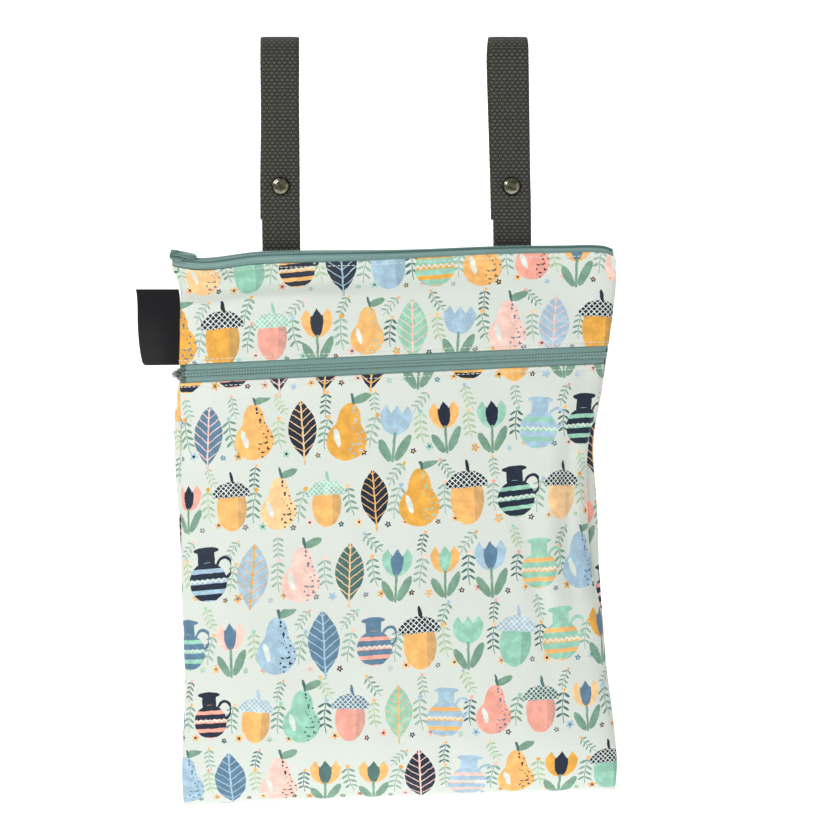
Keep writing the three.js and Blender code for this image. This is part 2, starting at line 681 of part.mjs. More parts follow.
// Snap: a cap with its socket through the front run, and a stud with its back cap through the tail
function addSnap(name, x, frontRun) {
  const radius = snapDiameter / 2;
  const post = snapPost / 2;
  const clear = strapThickness / 2 + seat;
  const runs = snapStack + strapThickness;
  const socketFace = runs / 2 - seat / 2;
  const socketFloor = socketFace - socketDepth;
  const socket = radius * snapShares.socket;
  const hole = post * snapShares.socketHole;
  const base = radius * snapShares.base;
  const rim = radius * snapShares.backRim;
  const tip = post * snapShares.tip;
  const back = -runs - clear;
  const tipTop = -socketFloor - seat - tipRise;
  const parts = {
    cap: [
      [0, -socketFloor], [hole, -socketFloor], [hole, -socketFace], [socket, -socketFace],
      [socket, -clear], [post, -clear], [post, clear],
      ...capProfile.map((row) => [row.radius * radius, clear + row.height * capHeight]),
    ],
    stud: [
      [0, back - studBack], [radius * snapShares.backFace, back - studBack],
      [rim, back - studBack / 2], [rim, back], [post, back], [post, clear - runs],
      [base, clear - runs], [base, -socketFace - seat],
      [tip, -socketFace - seat], [tip, tipTop], [0, -socketFloor - seat],
    ],
  };
  for (const [part, outline] of Object.entries(parts)) {
    const points = outline.map(([r, height]) => new THREE.Vector2(r, height));
    const mesh = add(`snap_${part}_${name}`, new THREE.LatheGeometry(points, roundSides), 'snapMetal');
    mesh.position.set(x, frontRun, -snapDrop);
    mesh.rotation.x = Math.PI;
  }
}

// Folded side label, sewn in the left seam, whose lower end turns back
function addLabel() {
  const lastRow = labelRows.length - 1;
  const face = (height) => (i, row) => {
    const j = labelRows[Math.round(row * lastRow)];
    const seam = skin('front', -1, (labelDrop + j * labelHeight) / bagHeight);
    const turn = radians(labelTwist) * j * j;
    const corner = clamp((j * labelHeight - labelHeight + labelCorner) / labelCorner, 0, 1);
    const lost = labelCorner * (1 - Math.sqrt(1 - labelRoundShare * corner * corner));
    const reach = (1 - i) * (labelWidth - lost);
    return new THREE.Vector3(
      seam.x - seat - reach * Math.cos(turn) - height * Math.sin(turn),
      reach * Math.sin(turn) - height * Math.cos(turn),
      seam.z,
    );
  };
  add('side_label', sheet(face(labelThickness / 2), face(-labelThickness / 2), 5, lastRow), 'label');
}

addCloth();
addTopZip();
addFrontZip();
addSliders();
addLoops();
addLabel();

export default bag;
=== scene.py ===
import math

import bmesh
import bpy
import numpy as np
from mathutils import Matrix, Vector


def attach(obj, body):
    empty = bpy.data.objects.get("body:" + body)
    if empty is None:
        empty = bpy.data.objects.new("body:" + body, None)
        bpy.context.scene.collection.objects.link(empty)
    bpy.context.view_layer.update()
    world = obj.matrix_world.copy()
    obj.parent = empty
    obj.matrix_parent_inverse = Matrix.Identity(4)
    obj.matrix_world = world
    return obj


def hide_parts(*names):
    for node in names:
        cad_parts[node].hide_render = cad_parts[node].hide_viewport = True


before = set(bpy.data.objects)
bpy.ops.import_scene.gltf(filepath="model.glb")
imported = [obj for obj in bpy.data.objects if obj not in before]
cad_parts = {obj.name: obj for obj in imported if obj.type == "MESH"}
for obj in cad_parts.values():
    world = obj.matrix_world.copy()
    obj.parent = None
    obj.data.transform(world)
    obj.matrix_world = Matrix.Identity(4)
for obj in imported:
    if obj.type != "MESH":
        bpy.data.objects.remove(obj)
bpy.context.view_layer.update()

# Metres, +Z up, the front faces -Y, and the origin is the axis of the bar between the two loops
bag = {
    "width": 0.290, "height": 0.356, "depth": 0.058, "topDrop": 0.123, "clothThickness": 0.0012,
    "bottomRound": 0.042, "zipShowing": 0.012, "topZipDrop": 0.0054, "frontZipDrop": 0.075,
    "tapeThickness": 0.001, "tapeHidden": 0.006, "tapeParting": 0.0018, "coilWidth": 0.0042,
    "coilHeight": 0.0014, "zipRoll": 48, "rollCentre": 0.0065, "rollReach": 0.027, "zipTurn": 60,
    "seat": 0.0003, "seamHump": 3.7, "ridgeFade": 0.08,
}
sections = {
    "down": [0.00, 0.03, 0.07, 0.13, 0.20, 0.28, 0.37, 0.47, 0.58, 0.68, 0.78, 0.88, 0.95, 1.00],
    "left": [1.004, 0.994, 0.964, 0.963, 0.967, 0.960, 0.958,
             0.957, 0.957, 0.949, 0.941, 0.950, 0.954, 0.948],
    "right": [0.984, 0.988, 0.984, 0.974, 0.955, 0.922, 0.866,
              0.862, 0.876, 0.924, 0.949, 0.980, 0.995, 0.988],
    "leftOut": [0, 0, 0, 0.002, 0.002, 0.033, 0.034, 0.018, 0.003, 0.002, 0.002, 0.003, 0.002, 0],
    "rightOut": [0, 0.006, 0.012, 0.008, 0, 0.008, 0.027, 0.041, 0.038, 0.012, 0.002, 0.002, 0, 0],
    "front": [0.094, 0.112, 0.165, 0.235, 0.300, 0.360, 0.420,
              0.460, 0.485, 0.490, 0.480, 0.440, 0.380, 0.320],
    "back": [0.094, 0.115, 0.175, 0.255, 0.330, 0.390, 0.430,
             0.455, 0.470, 0.470, 0.460, 0.420, 0.360, 0.300],
    "fullness": [0.10, 0.20, 0.42, 0.58, 0.68, 0.75, 0.80, 0.80, 0.80, 0.78, 0.74, 0.70, 0.66, 0.62],
    "rise": [0.016, 0.020, 0.027, 0.036, 0.045, 0.045, 0.044,
             0.043, 0.041, 0.040, 0.039, 0.037, 0.036, 0.036],
}
ridge = {
    "across": [-1.00, -0.85, -0.62, -0.40, -0.20, 0.05, 0.45, 0.74, 0.93, 1.00],
    "lift": [-0.0005, -0.0072, 0.0020, 0.0020, 0.0005, -0.0004, 0.0030, 0.0025, 0.0010, -0.0105],
    "roll": [1.00, 1.00, 0.95, 0.75, 0.55, 0.25, 0.10, 0.04, 0, 0],
}
# side, across, down, length, width, out, lean: as in the part's source
folds = [
    ("front", 0.89, 0.48, 0.21, 0.022, -0.070, 2),
    ("front", 0.79, 0.52, 0.24, 0.024, 0.034, 3),
    ("front", 0.70, 0.64, 0.20, 0.028, -0.038, -8),
    ("front", -0.86, 0.69, 0.12, 0.030, -0.042, 6),
    ("front", -0.90, 0.36, 0.15, 0.024, -0.046, -4),
    ("front", 0.60, 0.31, 0.11, 0.030, -0.030, 38),
    ("front", -0.50, 0.30, 0.09, 0.034, -0.022, -30),
    ("front", 0.10, 0.60, 0.22, 0.075, 0.030, 12),
    ("front", -0.55, 0.93, 0.05, 0.030, -0.034, 14),
    ("front", 0.25, 0.94, 0.05, 0.028, -0.030, -12),
    ("back", -0.72, 0.42, 0.24, 0.030, -0.060, 4),
    ("back", 0.70, 0.50, 0.22, 0.030, -0.064, -4),
    ("back", -0.30, 0.22, 0.12, 0.040, -0.034, -22),
    ("back", 0.34, 0.24, 0.12, 0.040, -0.034, 22),
    ("back", 0.05, 0.64, 0.20, 0.075, 0.028, -8),
    ("back", 0.40, 0.93, 0.05, 0.030, -0.032, 10),
]
halfWidth = bag["width"] / 2
topEdge = bag["topZipDrop"] / bag["height"]
frontZip = bag["frontZipDrop"] / bag["height"]
zipHalf = bag["zipShowing"] / 2 / bag["height"]
hidden = bag["tapeHidden"] / bag["height"]
tapeInset = bag["clothThickness"] + bag["seat"]


def along(table, key, column, place):  # smooth value of a table's column, as a cubic through its rows
    knots = np.array(table[key], float)
    values = np.array(table[column], float)
    place = np.clip(place, knots[0], knots[-1])
    row = np.clip(np.searchsorted(knots, place) - 1, 0, len(knots) - 2)
    before = np.maximum(np.arange(len(knots)) - 1, 0)
    after = np.minimum(np.arange(len(knots)) + 1, len(knots) - 1)
    slope = (values[after] - values[before]) / (knots[after] - knots[before])
    span = knots[row + 1] - knots[row]
    t = (place - knots[row]) / span
    rest = 1 - t
    return ((1 + 2 * t) * rest * rest * values[row] + t * rest * rest * span * slope[row]
            + t * t * (3 - 2 * t) * values[row + 1] - t * t * rest * span * slope[row + 1])


def unit(vectors):
    return vectors / np.linalg.norm(vectors, axis=-1, keepdims=True)


def pointsFrom(*coordinates):
    return np.stack(np.broadcast_arrays(*coordinates), -1)


def foldHeight(side, across, down):
    height = np.zeros(np.broadcast(across, down).shape)
    for foldSide, foldAcross, foldDown, length, width, out, lean in folds:
        if foldSide != side:
            continue
        sideways = (across - foldAcross) * halfWidth
        downward = (down - foldDown) * bag["height"]
        turn = math.radians(lean)
        beside = (sideways * math.cos(turn) + downward * math.sin(turn)) / (width * bag["width"])
        lengthwise = (downward * math.cos(turn) - sideways * math.sin(turn)) / (length * bag["height"])
        height = height + out * bag["depth"] * np.exp(-beside ** 2 - lengthwise ** 2)
    return height


def levelHeight(down, x):
    lift = along(ridge, "across", "lift", x / halfWidth) * bag["height"]
    rise = along(sections, "down", "rise", down)
    return -bag["topDrop"] - down * bag["height"] + rise * x + lift * np.exp(-(down / bag["ridgeFade"]) ** 2)


def atSeam(isLeft, column, down):  # value of a column that each of the two seams has
    left, right = (along(sections, "down", side + column, down) for side in ("left", "right"))
    return np.where(isLeft, left, right)


def skin(side, across, down):  # outer face of the bag, from -1 at the left seam to 1 at the right one
    angle = across * math.pi / 2
    edge = atSeam(across < 0, "", down)
    out = atSeam(across < 0, "Out", down) if side == "back" else 0
    roundness = np.maximum(np.cos(angle), 0)
    hump = bag["seamHump"] * np.sqrt(roundness) * np.sin(np.abs(angle)) ** 8
    x = halfWidth * (edge * np.sin(angle) + np.sign(across) * out * hump)
    roof = np.clip((topEdge - down) / topEdge, 0, 1)
    floor = np.clip((down - 1) * bag["height"] / bag["bottomRound"] + 1, 0, 1)
    opening = np.sqrt((1 - roof * roof) * (1 - floor * floor))
    dome = roundness ** along(sections, "down", "fullness", down) * opening
    share = along(sections, "down", side, down) * bag["depth"]
    depth = dome * np.maximum(share + foldHeight(side, np.sin(angle), down), 0)
    return pointsFrom(x, depth if side == "back" else -depth, levelHeight(down, x))


probe = {"step": 0.004, "across": 0.955, "down": 0.985}  # where directions are taken, clear of the seams


def inward(side, across, down):
    step = probe["step"]
    u = np.clip(across, -probe["across"], probe["across"])
    v = np.clip(down, step, probe["down"])
    sideStep = skin(side, u + step, v) - skin(side, u - step, v)
    downStep = skin(side, u, v + step / 2) - skin(side, u, v - step / 2)
    normal = unit(np.cross(sideStep, downStep))
    return normal if side == "front" else -normal


def roll(point):  # the top zip leans forward towards its slider
    x, y, z = np.moveaxis(point, -1, 0)
    centre = levelHeight(0.0, x) - bag["rollCentre"]
    height = z - centre
    reach = (np.hypot(y, height) - bag["rollCentre"]) / (bag["rollReach"] - bag["rollCentre"])
    reach = np.clip(reach, 0, 1)
    fade = (1 - reach) ** 2 * (1 + 2 * reach)
    turn = math.radians(bag["zipRoll"]) * along(ridge, "across", "roll", x / halfWidth) * fade
    turned = [x, y * np.cos(turn) - height * np.sin(turn), centre + y * np.sin(turn) + height * np.cos(turn)]
    return np.stack(turned, -1)


def under(side, across, down, depth):  # a point under the skin, kept on its own side of the seams
    across, down, depth = np.broadcast_arrays(across, down, depth)
    point = skin(side, across, down) + inward(side, across, down) * depth[..., None]
    limit = bag["seat"] / 2
    y = np.minimum(point[..., 1], -limit) if side == "front" else np.maximum(point[..., 1], limit)
    point[..., 1] = y
    return roll(point)


# Smooth random field over two coordinates that are counted in its own cells
def softNoise(u, v, seed):
    table = np.random.default_rng(seed).uniform(-1, 1, (64, 64))
    u, v = np.broadcast_arrays(u, v)
    column = np.floor(u).astype(int)
    row = np.floor(v).astype(int)
    s = u - column
    t = v - row
    s = s * s * (3 - 2 * s)
    t = t * t * (3 - 2 * t)
    near = table[row % 64, column % 64] * (1 - s) + table[row % 64, (column + 1) % 64] * s
    far = table[(row + 1) % 64, column % 64] * (1 - s) + table[(row + 1) % 64, (column + 1) % 64] * s
    return near * (1 - t) + far * t


wrinkles = {
    "seamPucker": 0.0011, "seamSpacing": 0.011, "seamReach": 0.016,
    "zipPucker": 0.0005, "zipSpacing": 0.010, "zipReach": 0.009,
    "swell": 0.0016, "swellSize": 0.052, "ripple": 0.00045, "rippleSize": 0.017,
    "stitchGroove": 0.00035, "stitchInset": 0.0026, "grooveWidth": 0.0008, "edgeFade": 0.004,
    "seed": 7,
}


def wrinkleHeight(side, across, down, zipLevels):  # what the cloth's small folds add, outwards
    point = skin(side, across, down)
    x, z = point[..., 0], point[..., 2]
    seed = wrinkles["seed"] + (0 if side == "front" else 20)
    fromSeam = (1 - np.abs(np.sin(across * math.pi / 2))) * halfWidth
    puckers = softNoise(z / wrinkles["seamSpacing"], np.sign(x) * 3 + 9.5, seed)
    height = wrinkles["seamPucker"] * puckers * np.exp(-fromSeam / wrinkles["seamReach"])
    size = wrinkles["swellSize"]
    height = height + wrinkles["swell"] * softNoise(x / size + 9, z / size / 1.5 + 20, seed + 1)
    size = wrinkles["rippleSize"]
    height = height + wrinkles["ripple"] * softNoise((x + 0.4 * z) / size + 30, z / size / 2 + 40, seed + 2)
    bottom = (1 - down) * bag["height"]
    puckers = softNoise(x / wrinkles["seamSpacing"] + 30, 2.5, seed + 3)
    height = height + wrinkles["seamPucker"] * puckers * np.exp(-bottom / wrinkles["seamReach"])
    for level in zipLevels:
        fromZip = np.abs(down - level) * bag["height"]
        calm = np.exp(-(fromZip / wrinkles["zipReach"]) ** 2)
        puckers = softNoise(x / wrinkles["zipSpacing"] + 30, level * 90, seed + 4)
        height = height * (1 - calm) + wrinkles["zipPucker"] * np.abs(puckers) * calm
        groove = (fromZip - wrinkles["stitchInset"]) / wrinkles["grooveWidth"]
        height = height - wrinkles["stitchGroove"] * np.exp(-groove ** 2)
    fade = wrinkles["edgeFade"]
    return height * np.clip(fromSeam / fade, 0, 1) * np.clip(bottom / fade, 0, 1)


def addObject(name, data):
    obj = bpy.data.objects.new(name, data)
    bpy.context.scene.collection.objects.link(obj)
    return obj


def arcLength(points, axis):  # length along the rows or columns of a grid of points
    steps = np.linalg.norm(np.diff(points, axis=axis), axis=-1)
    first = np.zeros_like(np.take(steps, [0], axis=axis))
    return np.cumsum(np.concatenate([first, steps], axis=axis), axis=axis)


def laidOut(points):  # where each point of a surface is along it, in metres
    return np.stack([arcLength(points, 1), arcLength(points, 0)], -1)


def closedSheet(name, outer, inner, uv, material):  # one closed body between two grids of points
    rows, columns = outer.shape[:2]
    points = np.concatenate([outer.reshape(-1, 3), inner.reshape(-1, 3)])
    index = np.arange(rows * columns).reshape(rows, columns)
    quad = np.stack([index[:-1, :-1], index[:-1, 1:], index[1:, 1:], index[1:, :-1]], -1).reshape(-1, 4)
    back = quad[:, ::-1] + rows * columns
    loop = np.concatenate([index[0, :], index[1:, -1], index[-1, -2::-1], index[-2:0:-1, 0]])
    after = np.roll(loop, -1)
    rim = np.stack([after, loop, loop + rows * columns, after + rows * columns], -1)
    faces = np.concatenate([quad, back, rim])
    corners = points[faces]
    volume = np.einsum("ij,ij->i", corners[:, 0], np.cross(corners[:, 1], corners[:, 2]) +
                       np.cross(corners[:, 2], corners[:, 3])).sum()
    if volume < 0:
        faces = faces[:, ::-1]
    mesh = bpy.data.meshes.new(name)
    mesh.from_pydata(points.tolist(), [], faces.tolist())
    layer = mesh.uv_layers.new(name="cloth")
    both = np.concatenate([uv.reshape(-1, 2), uv.reshape(-1, 2)])
    layer.data.foreach_set("uv", both[faces.reshape(-1)].reshape(-1).astype(np.float32))
    mesh.polygons.foreach_set("use_smooth", [True] * len(mesh.polygons))
    mesh.materials.append(material)
    return addObject(name, mesh)


def ready(obj, slot, *nodes, body="bag"):  # a finished piece, standing for its CAD nodes
    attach(obj, body)
    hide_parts(*nodes)
    return obj


# Shader helpers
def tone(red, green, blue):  # a colour as seen on screen, 0 to 255
    shares = [c / 255 for c in (red, green, blue)]
    return tuple(c / 12.92 if c <= 0.04045 else ((c + 0.055) / 1.055) ** 2.4 for c in shares) + (1,)


def connect(value, socket):
    if isinstance(value, bpy.types.NodeSocket):
        socket.id_data.links.new(value, socket)
    else:
        socket.default_value = value


def node(tree, kind, inputs=(), **settings):
    made = tree.nodes.new(kind)
    for key, value in settings.items():
        setattr(made, key, value)
    for key, value in dict(inputs).items():
        connect(value, made.inputs[key])
    return made


def mathNode(kind, operation, values):  # in the node tree that the first socket of the values is in
    tree = next(value.id_data for value in values if isinstance(value, bpy.types.NodeSocket))
    return node(tree, kind, enumerate(values), operation=operation)


def calc(operation, *values):
    return mathNode("ShaderNodeMath", operation, values).outputs[0]


def mathFunction(operation):
    return lambda *values: calc(operation, *values)


times, plus, minus, over = map(mathFunction, ("MULTIPLY", "ADD", "SUBTRACT", "DIVIDE"))
less, more, matches, larger = map(mathFunction, ("LESS_THAN", "GREATER_THAN", "COMPARE", "MAXIMUM"))
timesPlus, bounce, magnitude, sine = map(mathFunction, ("MULTIPLY_ADD", "PINGPONG", "ABSOLUTE", "SINE"))


def vectorCalc(operation, *values):
    made = mathNode("ShaderNodeVectorMath", operation, values)
    return made.outputs["Value" if operation == "LENGTH" else "Vector"]


def enlarged(vector, factor):
    made = vectorCalc("SCALE", vector)
    made.node.inputs["Scale"].default_value = factor
    return made


def mix(share, low, high):
    made = node(share.id_data, "ShaderNodeMix", data_type="RGBA")
    for place, value in ((0, share), (6, low), (7, high)):
        connect(value, made.inputs[place])
    return made.outputs[2]


def ease(value, low, high, start=0.0, end=1.0):
    made = node(value.id_data, "ShaderNodeMapRange", interpolation_type="SMOOTHSTEP")
    for place, item in enumerate((value, low, high, start, end)):
        connect(item, made.inputs[place])
    return made.outputs[0]


def parts(vector):
    split = node(vector.id_data, "ShaderNodeSeparateXYZ", {"Vector": vector})
    return split.outputs[0], split.outputs[1]


def pair(x, y, z=0.0):
    return node(x.id_data, "ShaderNodeCombineXYZ", {0: x, 1: y, 2: z}).outputs[0]


def noise(vector, scale, detail=2.0, roughness=0.5):
    made = node(vector.id_data, "ShaderNodeTexNoise",
                {"Vector": vector, "Scale": scale, "Detail": detail, "Roughness": roughness})
    return made.outputs[0]


kinds = {"vector": "NodeSocketVector", "number": "NodeSocketFloat", "colour": "NodeSocketColor"}


def shaderGroup(name, inputs, outputs):
    tree = bpy.data.node_groups.new(name, "ShaderNodeTree")
    for label, (kind, value) in inputs.items():
        socket = tree.interface.new_socket(label, in_out="INPUT", socket_type=kinds[kind])
        socket.default_value = value
    for label, kind in outputs.items():
        tree.interface.new_socket(label, in_out="OUTPUT", socket_type=kinds[kind])
    return tree, tree.nodes.new("NodeGroupInput"), tree.nodes.new("NodeGroupOutput")


def useGroup(tree, group, inputs=()):
    made = tree.nodes.new("ShaderNodeGroup")
    made.node_tree = group
    for key, value in dict(inputs).items():
        connect(value, made.inputs[key])
    return made


def material(name, settings):
    made = bpy.data.materials.new(name)
    made.use_nodes = True
    tree = made.node_tree
    shader = tree.nodes["Principled BSDF"]
    for key, value in settings.items():
        shader.inputs[key].default_value = value
    return made, tree, shader


def bumpInto(shader, height, distance, strength):
    made = node(height.id_data, "ShaderNodeBump",
                {"Height": height, "Distance": distance, "Strength": strength})
    connect(made.outputs["Normal"], shader.inputs["Normal"])


print("helpers ready")

# Printed cloth: motifs in millimetres round their own middle, each with a colour and a mask


def blobGroup():  # distance from an ellipse's middle, 1 on its edge
    tree, given, out = shaderGroup(
        "blob",
        {"Place": ("vector", (0, 0, 0)), "Middle": ("vector", (0, 0, 0)), "Radii": ("vector", (1, 1, 1)),
         "Turn": ("number", 0.0)},
        {"Distance": "number"},
    )
    place = vectorCalc("SUBTRACT", given.outputs["Place"], given.outputs["Middle"])
    turned = node(tree, "ShaderNodeVectorRotate", {"Vector": place, "Angle": given.outputs["Turn"]},
                  rotation_type="Z_AXIS")
    scaled = vectorCalc("DIVIDE", turned.outputs[0], given.outputs["Radii"])
    connect(vectorCalc("LENGTH", scaled), out.inputs["Distance"])
    return tree


blob = blobGroup()


def blobAt(place, middle, radii, turn=0.0):
    settings = {"Place": place, "Middle": (*middle, 0), "Radii": (*radii, 1), "Turn": math.radians(turn)}
    return useGroup(place.id_data, blob, settings).outputs[0]


def inside(distance, edge=1.0):
    return less(distance, edge)


def motifGroup(name):
    white = (1, 1, 1, 1)
    _, given, out = shaderGroup(
        name, {"Place": ("vector", (0, 0, 0)), "Main": ("colour", white), "Accent": ("colour", white)},
        {"Colour": "colour", "Mask": "number"},
    )
    return *given.outputs[:3], out


def motifDone(out, colour, mask):
    connect(colour, out.inputs["Colour"])
    connect(mask, out.inputs["Mask"])
    return out.id_data


leafGreen = tone(120, 158, 136)
deepGreen = tone(74, 112, 108)
ground = tone(225, 232, 223)


def either(*masks):
    result = masks[0]
    for mask in masks[1:]:
        result = larger(result, mask)
    return result


def pearGroup():
    place, main, accent, out = motifGroup("pear")
    belly = blobAt(place, (0, -3.6), (7.6, 7.4))
    neck = blobAt(place, (0.3, 3.6), (4.2, 6.6))
    body = inside(calc("SMOOTH_MIN", belly, neck, 0.55), 0.93)
    stem = inside(blobAt(place, (0.8, 11.6), (0.55, 2.6), -14))
    leaf = inside(blobAt(place, (4.0, 11.4), (3.6, 1.5), -24))
    shine = inside(blobAt(place, (-3.4, -2.6), (1.0, 3.4), -16))
    freckle = less(noise(place, 0.95, 0.0), 0.36)
    side = more(parts(place)[0], 1.2)
    colour = mix(times(freckle, side), main, accent)
    colour = mix(shine, colour, ground)
    colour = mix(leaf, colour, leafGreen)
    colour = mix(stem, colour, deepGreen)
    return motifDone(out, colour, either(body, stem, leaf))


def jugGroup():
    place, main, accent, out = motifGroup("jug")
    x, y = parts(place)
    body = inside(blobAt(place, (0, -3.2), (7.8, 7.6)))
    neck = times(less(magnitude(x), 3.4), inside(magnitude(minus(y, 5.0)), 4.0))
    lip = inside(blobAt(place, (0, 9.0), (5.2, 1.3)))
    handle = blobAt(place, (7.0, 1.8), (3.6, 4.6), 12)
    ring = matches(handle, 0.86, 0.14)
    band = more(sine(times(y, 1.55)), 0.25)
    wave = plus(y, bounce(x, 1.1))
    zigzag = matches(wave, -2.2, 0.38)
    colour = mix(times(band, body), main, accent)
    colour = mix(times(zigzag, body), colour, ground)
    return motifDone(out, colour, either(body, neck, lip, ring))


def tulipGroup():
    place, main, accent, out = motifGroup("tulip")
    x, y = parts(place)
    cup = inside(blobAt(place, (0, 5.2), (6.0, 7.6)))
    points = timesPlus(bounce(plus(x, 2.0), 2.0), 1.5, 5.6)
    cup = times(cup, less(y, points))
    middle = inside(blobAt(place, (0, 4.2), (2.5, 6.2)))
    stem = times(less(magnitude(x), 0.5), matches(y, -7.0, 5.6))
    leaves = either(inside(blobAt(place, (3.4, -7.0), (1.7, 5.4), 26)),
                    inside(blobAt(place, (-3.2, -8.2), (1.6, 4.6), -30)))
    colour = mix(middle, main, accent)
    colour = mix(larger(stem, leaves), colour, leafGreen)
    return motifDone(out, colour, either(cup, stem, leaves))


def leafGroup():
    place, main, accent, out = motifGroup("leaf")
    x, y = parts(place)
    across = magnitude(x)
    reach = over(y, 12.5)
    width = timesPlus(times(reach, reach), -6.2, 6.2)
    blade = less(across, width)
    vein = less(across, 0.32)
    slant = timesPlus(across, -0.8, y)
    rib = less(bounce(slant, 1.7), 0.24)
    stem = times(less(across, 0.4), matches(y, -12.5, 3.0))
    colour = mix(larger(vein, rib), main, accent)
    return motifDone(out, colour, larger(blade, stem))


def acornGroup():
    place, main, accent, out = motifGroup("acorn")
    x, y = parts(place)
    nut = inside(blobAt(place, (0, -1.6), (5.4, 8.2)))
    cap = times(inside(blobAt(place, (0, 2.6), (6.8, 4.8))), more(y, 2.0))
    stem = inside(blobAt(place, (0.4, 8.6), (0.6, 2.4), -10))
    net = either(less(bounce(plus(x, y), 0.9), 0.2), less(bounce(minus(x, y), 0.9), 0.2))
    shade = times(more(x, 2.2), 0.28)
    colour = mix(shade, main, deepGreen)
    colour = mix(larger(cap, stem), colour, accent)
    colour = mix(times(net, cap), colour, ground)
    return motifDone(out, colour, either(nut, cap, stem))


def sprigGroup():
    place, main, accent, out = motifGroup("sprig")
    x, y = parts(place)
    bent = minus(x, times(times(y, y), 0.012))
    across = magnitude(bent)
    step = minus(calc("FLOORED_MODULO", y, 3.9), 1.95)
    leaf = inside(blobAt(pair(across, step), (2.2, 0.3), (2.2, 0.72), 34))
    length = less(magnitude(y), 7.8)
    stem = times(less(across, 0.24), matches(y, -1.0, 9.0))
    bud = inside(blobAt(place, (0.9, 9.0), (1.25, 1.25)))
    colour = mix(bud, main, accent)
    return motifDone(out, colour, either(times(leaf, length), stem, bud))


def flowerGroup():
    place, main, accent, out = motifGroup("flower")
    x, y = parts(place)
    turn = times(calc("ARCTAN2", y, x), 5)
    rim = timesPlus(calc("COSINE", turn), 0.85, 2.9)
    length = vectorCalc("LENGTH", place)
    colour = mix(less(length, 1.15), main, accent)
    return motifDone(out, colour, less(length, rim))


def cellsGroup():  # staggered cells, each with its own turned and shifted place in millimetres
    tree, given, out = shaderGroup(
        "motifCells",
        {"Vector": ("vector", (0, 0, 0)), "Across": ("number", 0.037), "Down": ("number", 0.035),
         "Offset": ("vector", (0, 0, 0)), "Seed": ("number", 1.0), "Swing": ("number", 0.9),
         "Jitter": ("number", 3.0), "Size": ("number", 1.0)},
        {"Place": "vector", "Random": "number", "Second": "number", "Third": "number"},
    )
    moved = vectorCalc("ADD", given.outputs["Vector"], given.outputs["Offset"])
    x, y = parts(moved)
    y = over(y, given.outputs["Down"])
    row = calc("FLOOR", y)
    stagger = times(calc("FLOORED_MODULO", row, 2.0), 0.5)
    x = plus(over(x, given.outputs["Across"]), stagger)
    column = calc("FLOOR", x)
    hashed = node(tree, "ShaderNodeTexWhiteNoise", {"Vector": pair(column, row, given.outputs["Seed"])},
                  noise_dimensions="3D")
    split = node(tree, "ShaderNodeSeparateColor", {"Color": hashed.outputs["Color"]})
    second, third = split.outputs[1:3]
    localX = times(minus(calc("FRACT", x), 0.5), given.outputs["Across"])
    localY = times(minus(calc("FRACT", y), 0.5), given.outputs["Down"])
    shiftX = times(minus(second, 0.5), given.outputs["Jitter"])
    shiftY = times(minus(third, 0.5), given.outputs["Jitter"])
    place = pair(timesPlus(localX, 1000, shiftX), timesPlus(localY, 1000, shiftY))
    angle = times(minus(third, 0.5), given.outputs["Swing"])
    turned = node(tree, "ShaderNodeVectorRotate", {"Vector": place, "Angle": angle}, rotation_type="Z_AXIS")
    size = times(timesPlus(second, 0.2, 0.9), given.outputs["Size"])
    scaled = vectorCalc("DIVIDE", turned.outputs[0], pair(size, size, 1.0))
    connect(scaled, out.inputs["Place"])
    for label, value in (("Random", hashed.outputs["Value"]), ("Second", second), ("Third", third)):
        connect(value, out.inputs[label])
    return tree


def palette(share, *colours):
    ramp = share.id_data.nodes.new("ShaderNodeValToRGB")
    ramp.color_ramp.interpolation = "CONSTANT"
    while len(ramp.color_ramp.elements) < len(colours):
        ramp.color_ramp.elements.new(0.5)
    for index, colour in enumerate(colours):
        ramp.color_ramp.elements[index].position = index / len(colours)
    for element, colour in zip(ramp.color_ramp.elements, colours):
        element.color = colour
    connect(share, ramp.inputs[0])
    return ramp.outputs[0]


navy = tone(27, 38, 58)
steel = tone(92, 127, 152)
pale = tone(166, 196, 214)
mint = tone(152, 205, 182)
sage = tone(172, 198, 158)
orange = tone(246, 186, 110)
peach = tone(250, 206, 150)
coral = tone(243, 168, 150)
pink = tone(246, 204, 190)
mustard = tone(232, 170, 72)
softGreen = tone(150, 178, 160)
motifSizes = {"pear": 1.02, "jug": 0.94, "tulip": 0.97, "leaf": 0.93, "acorn": 1.14}


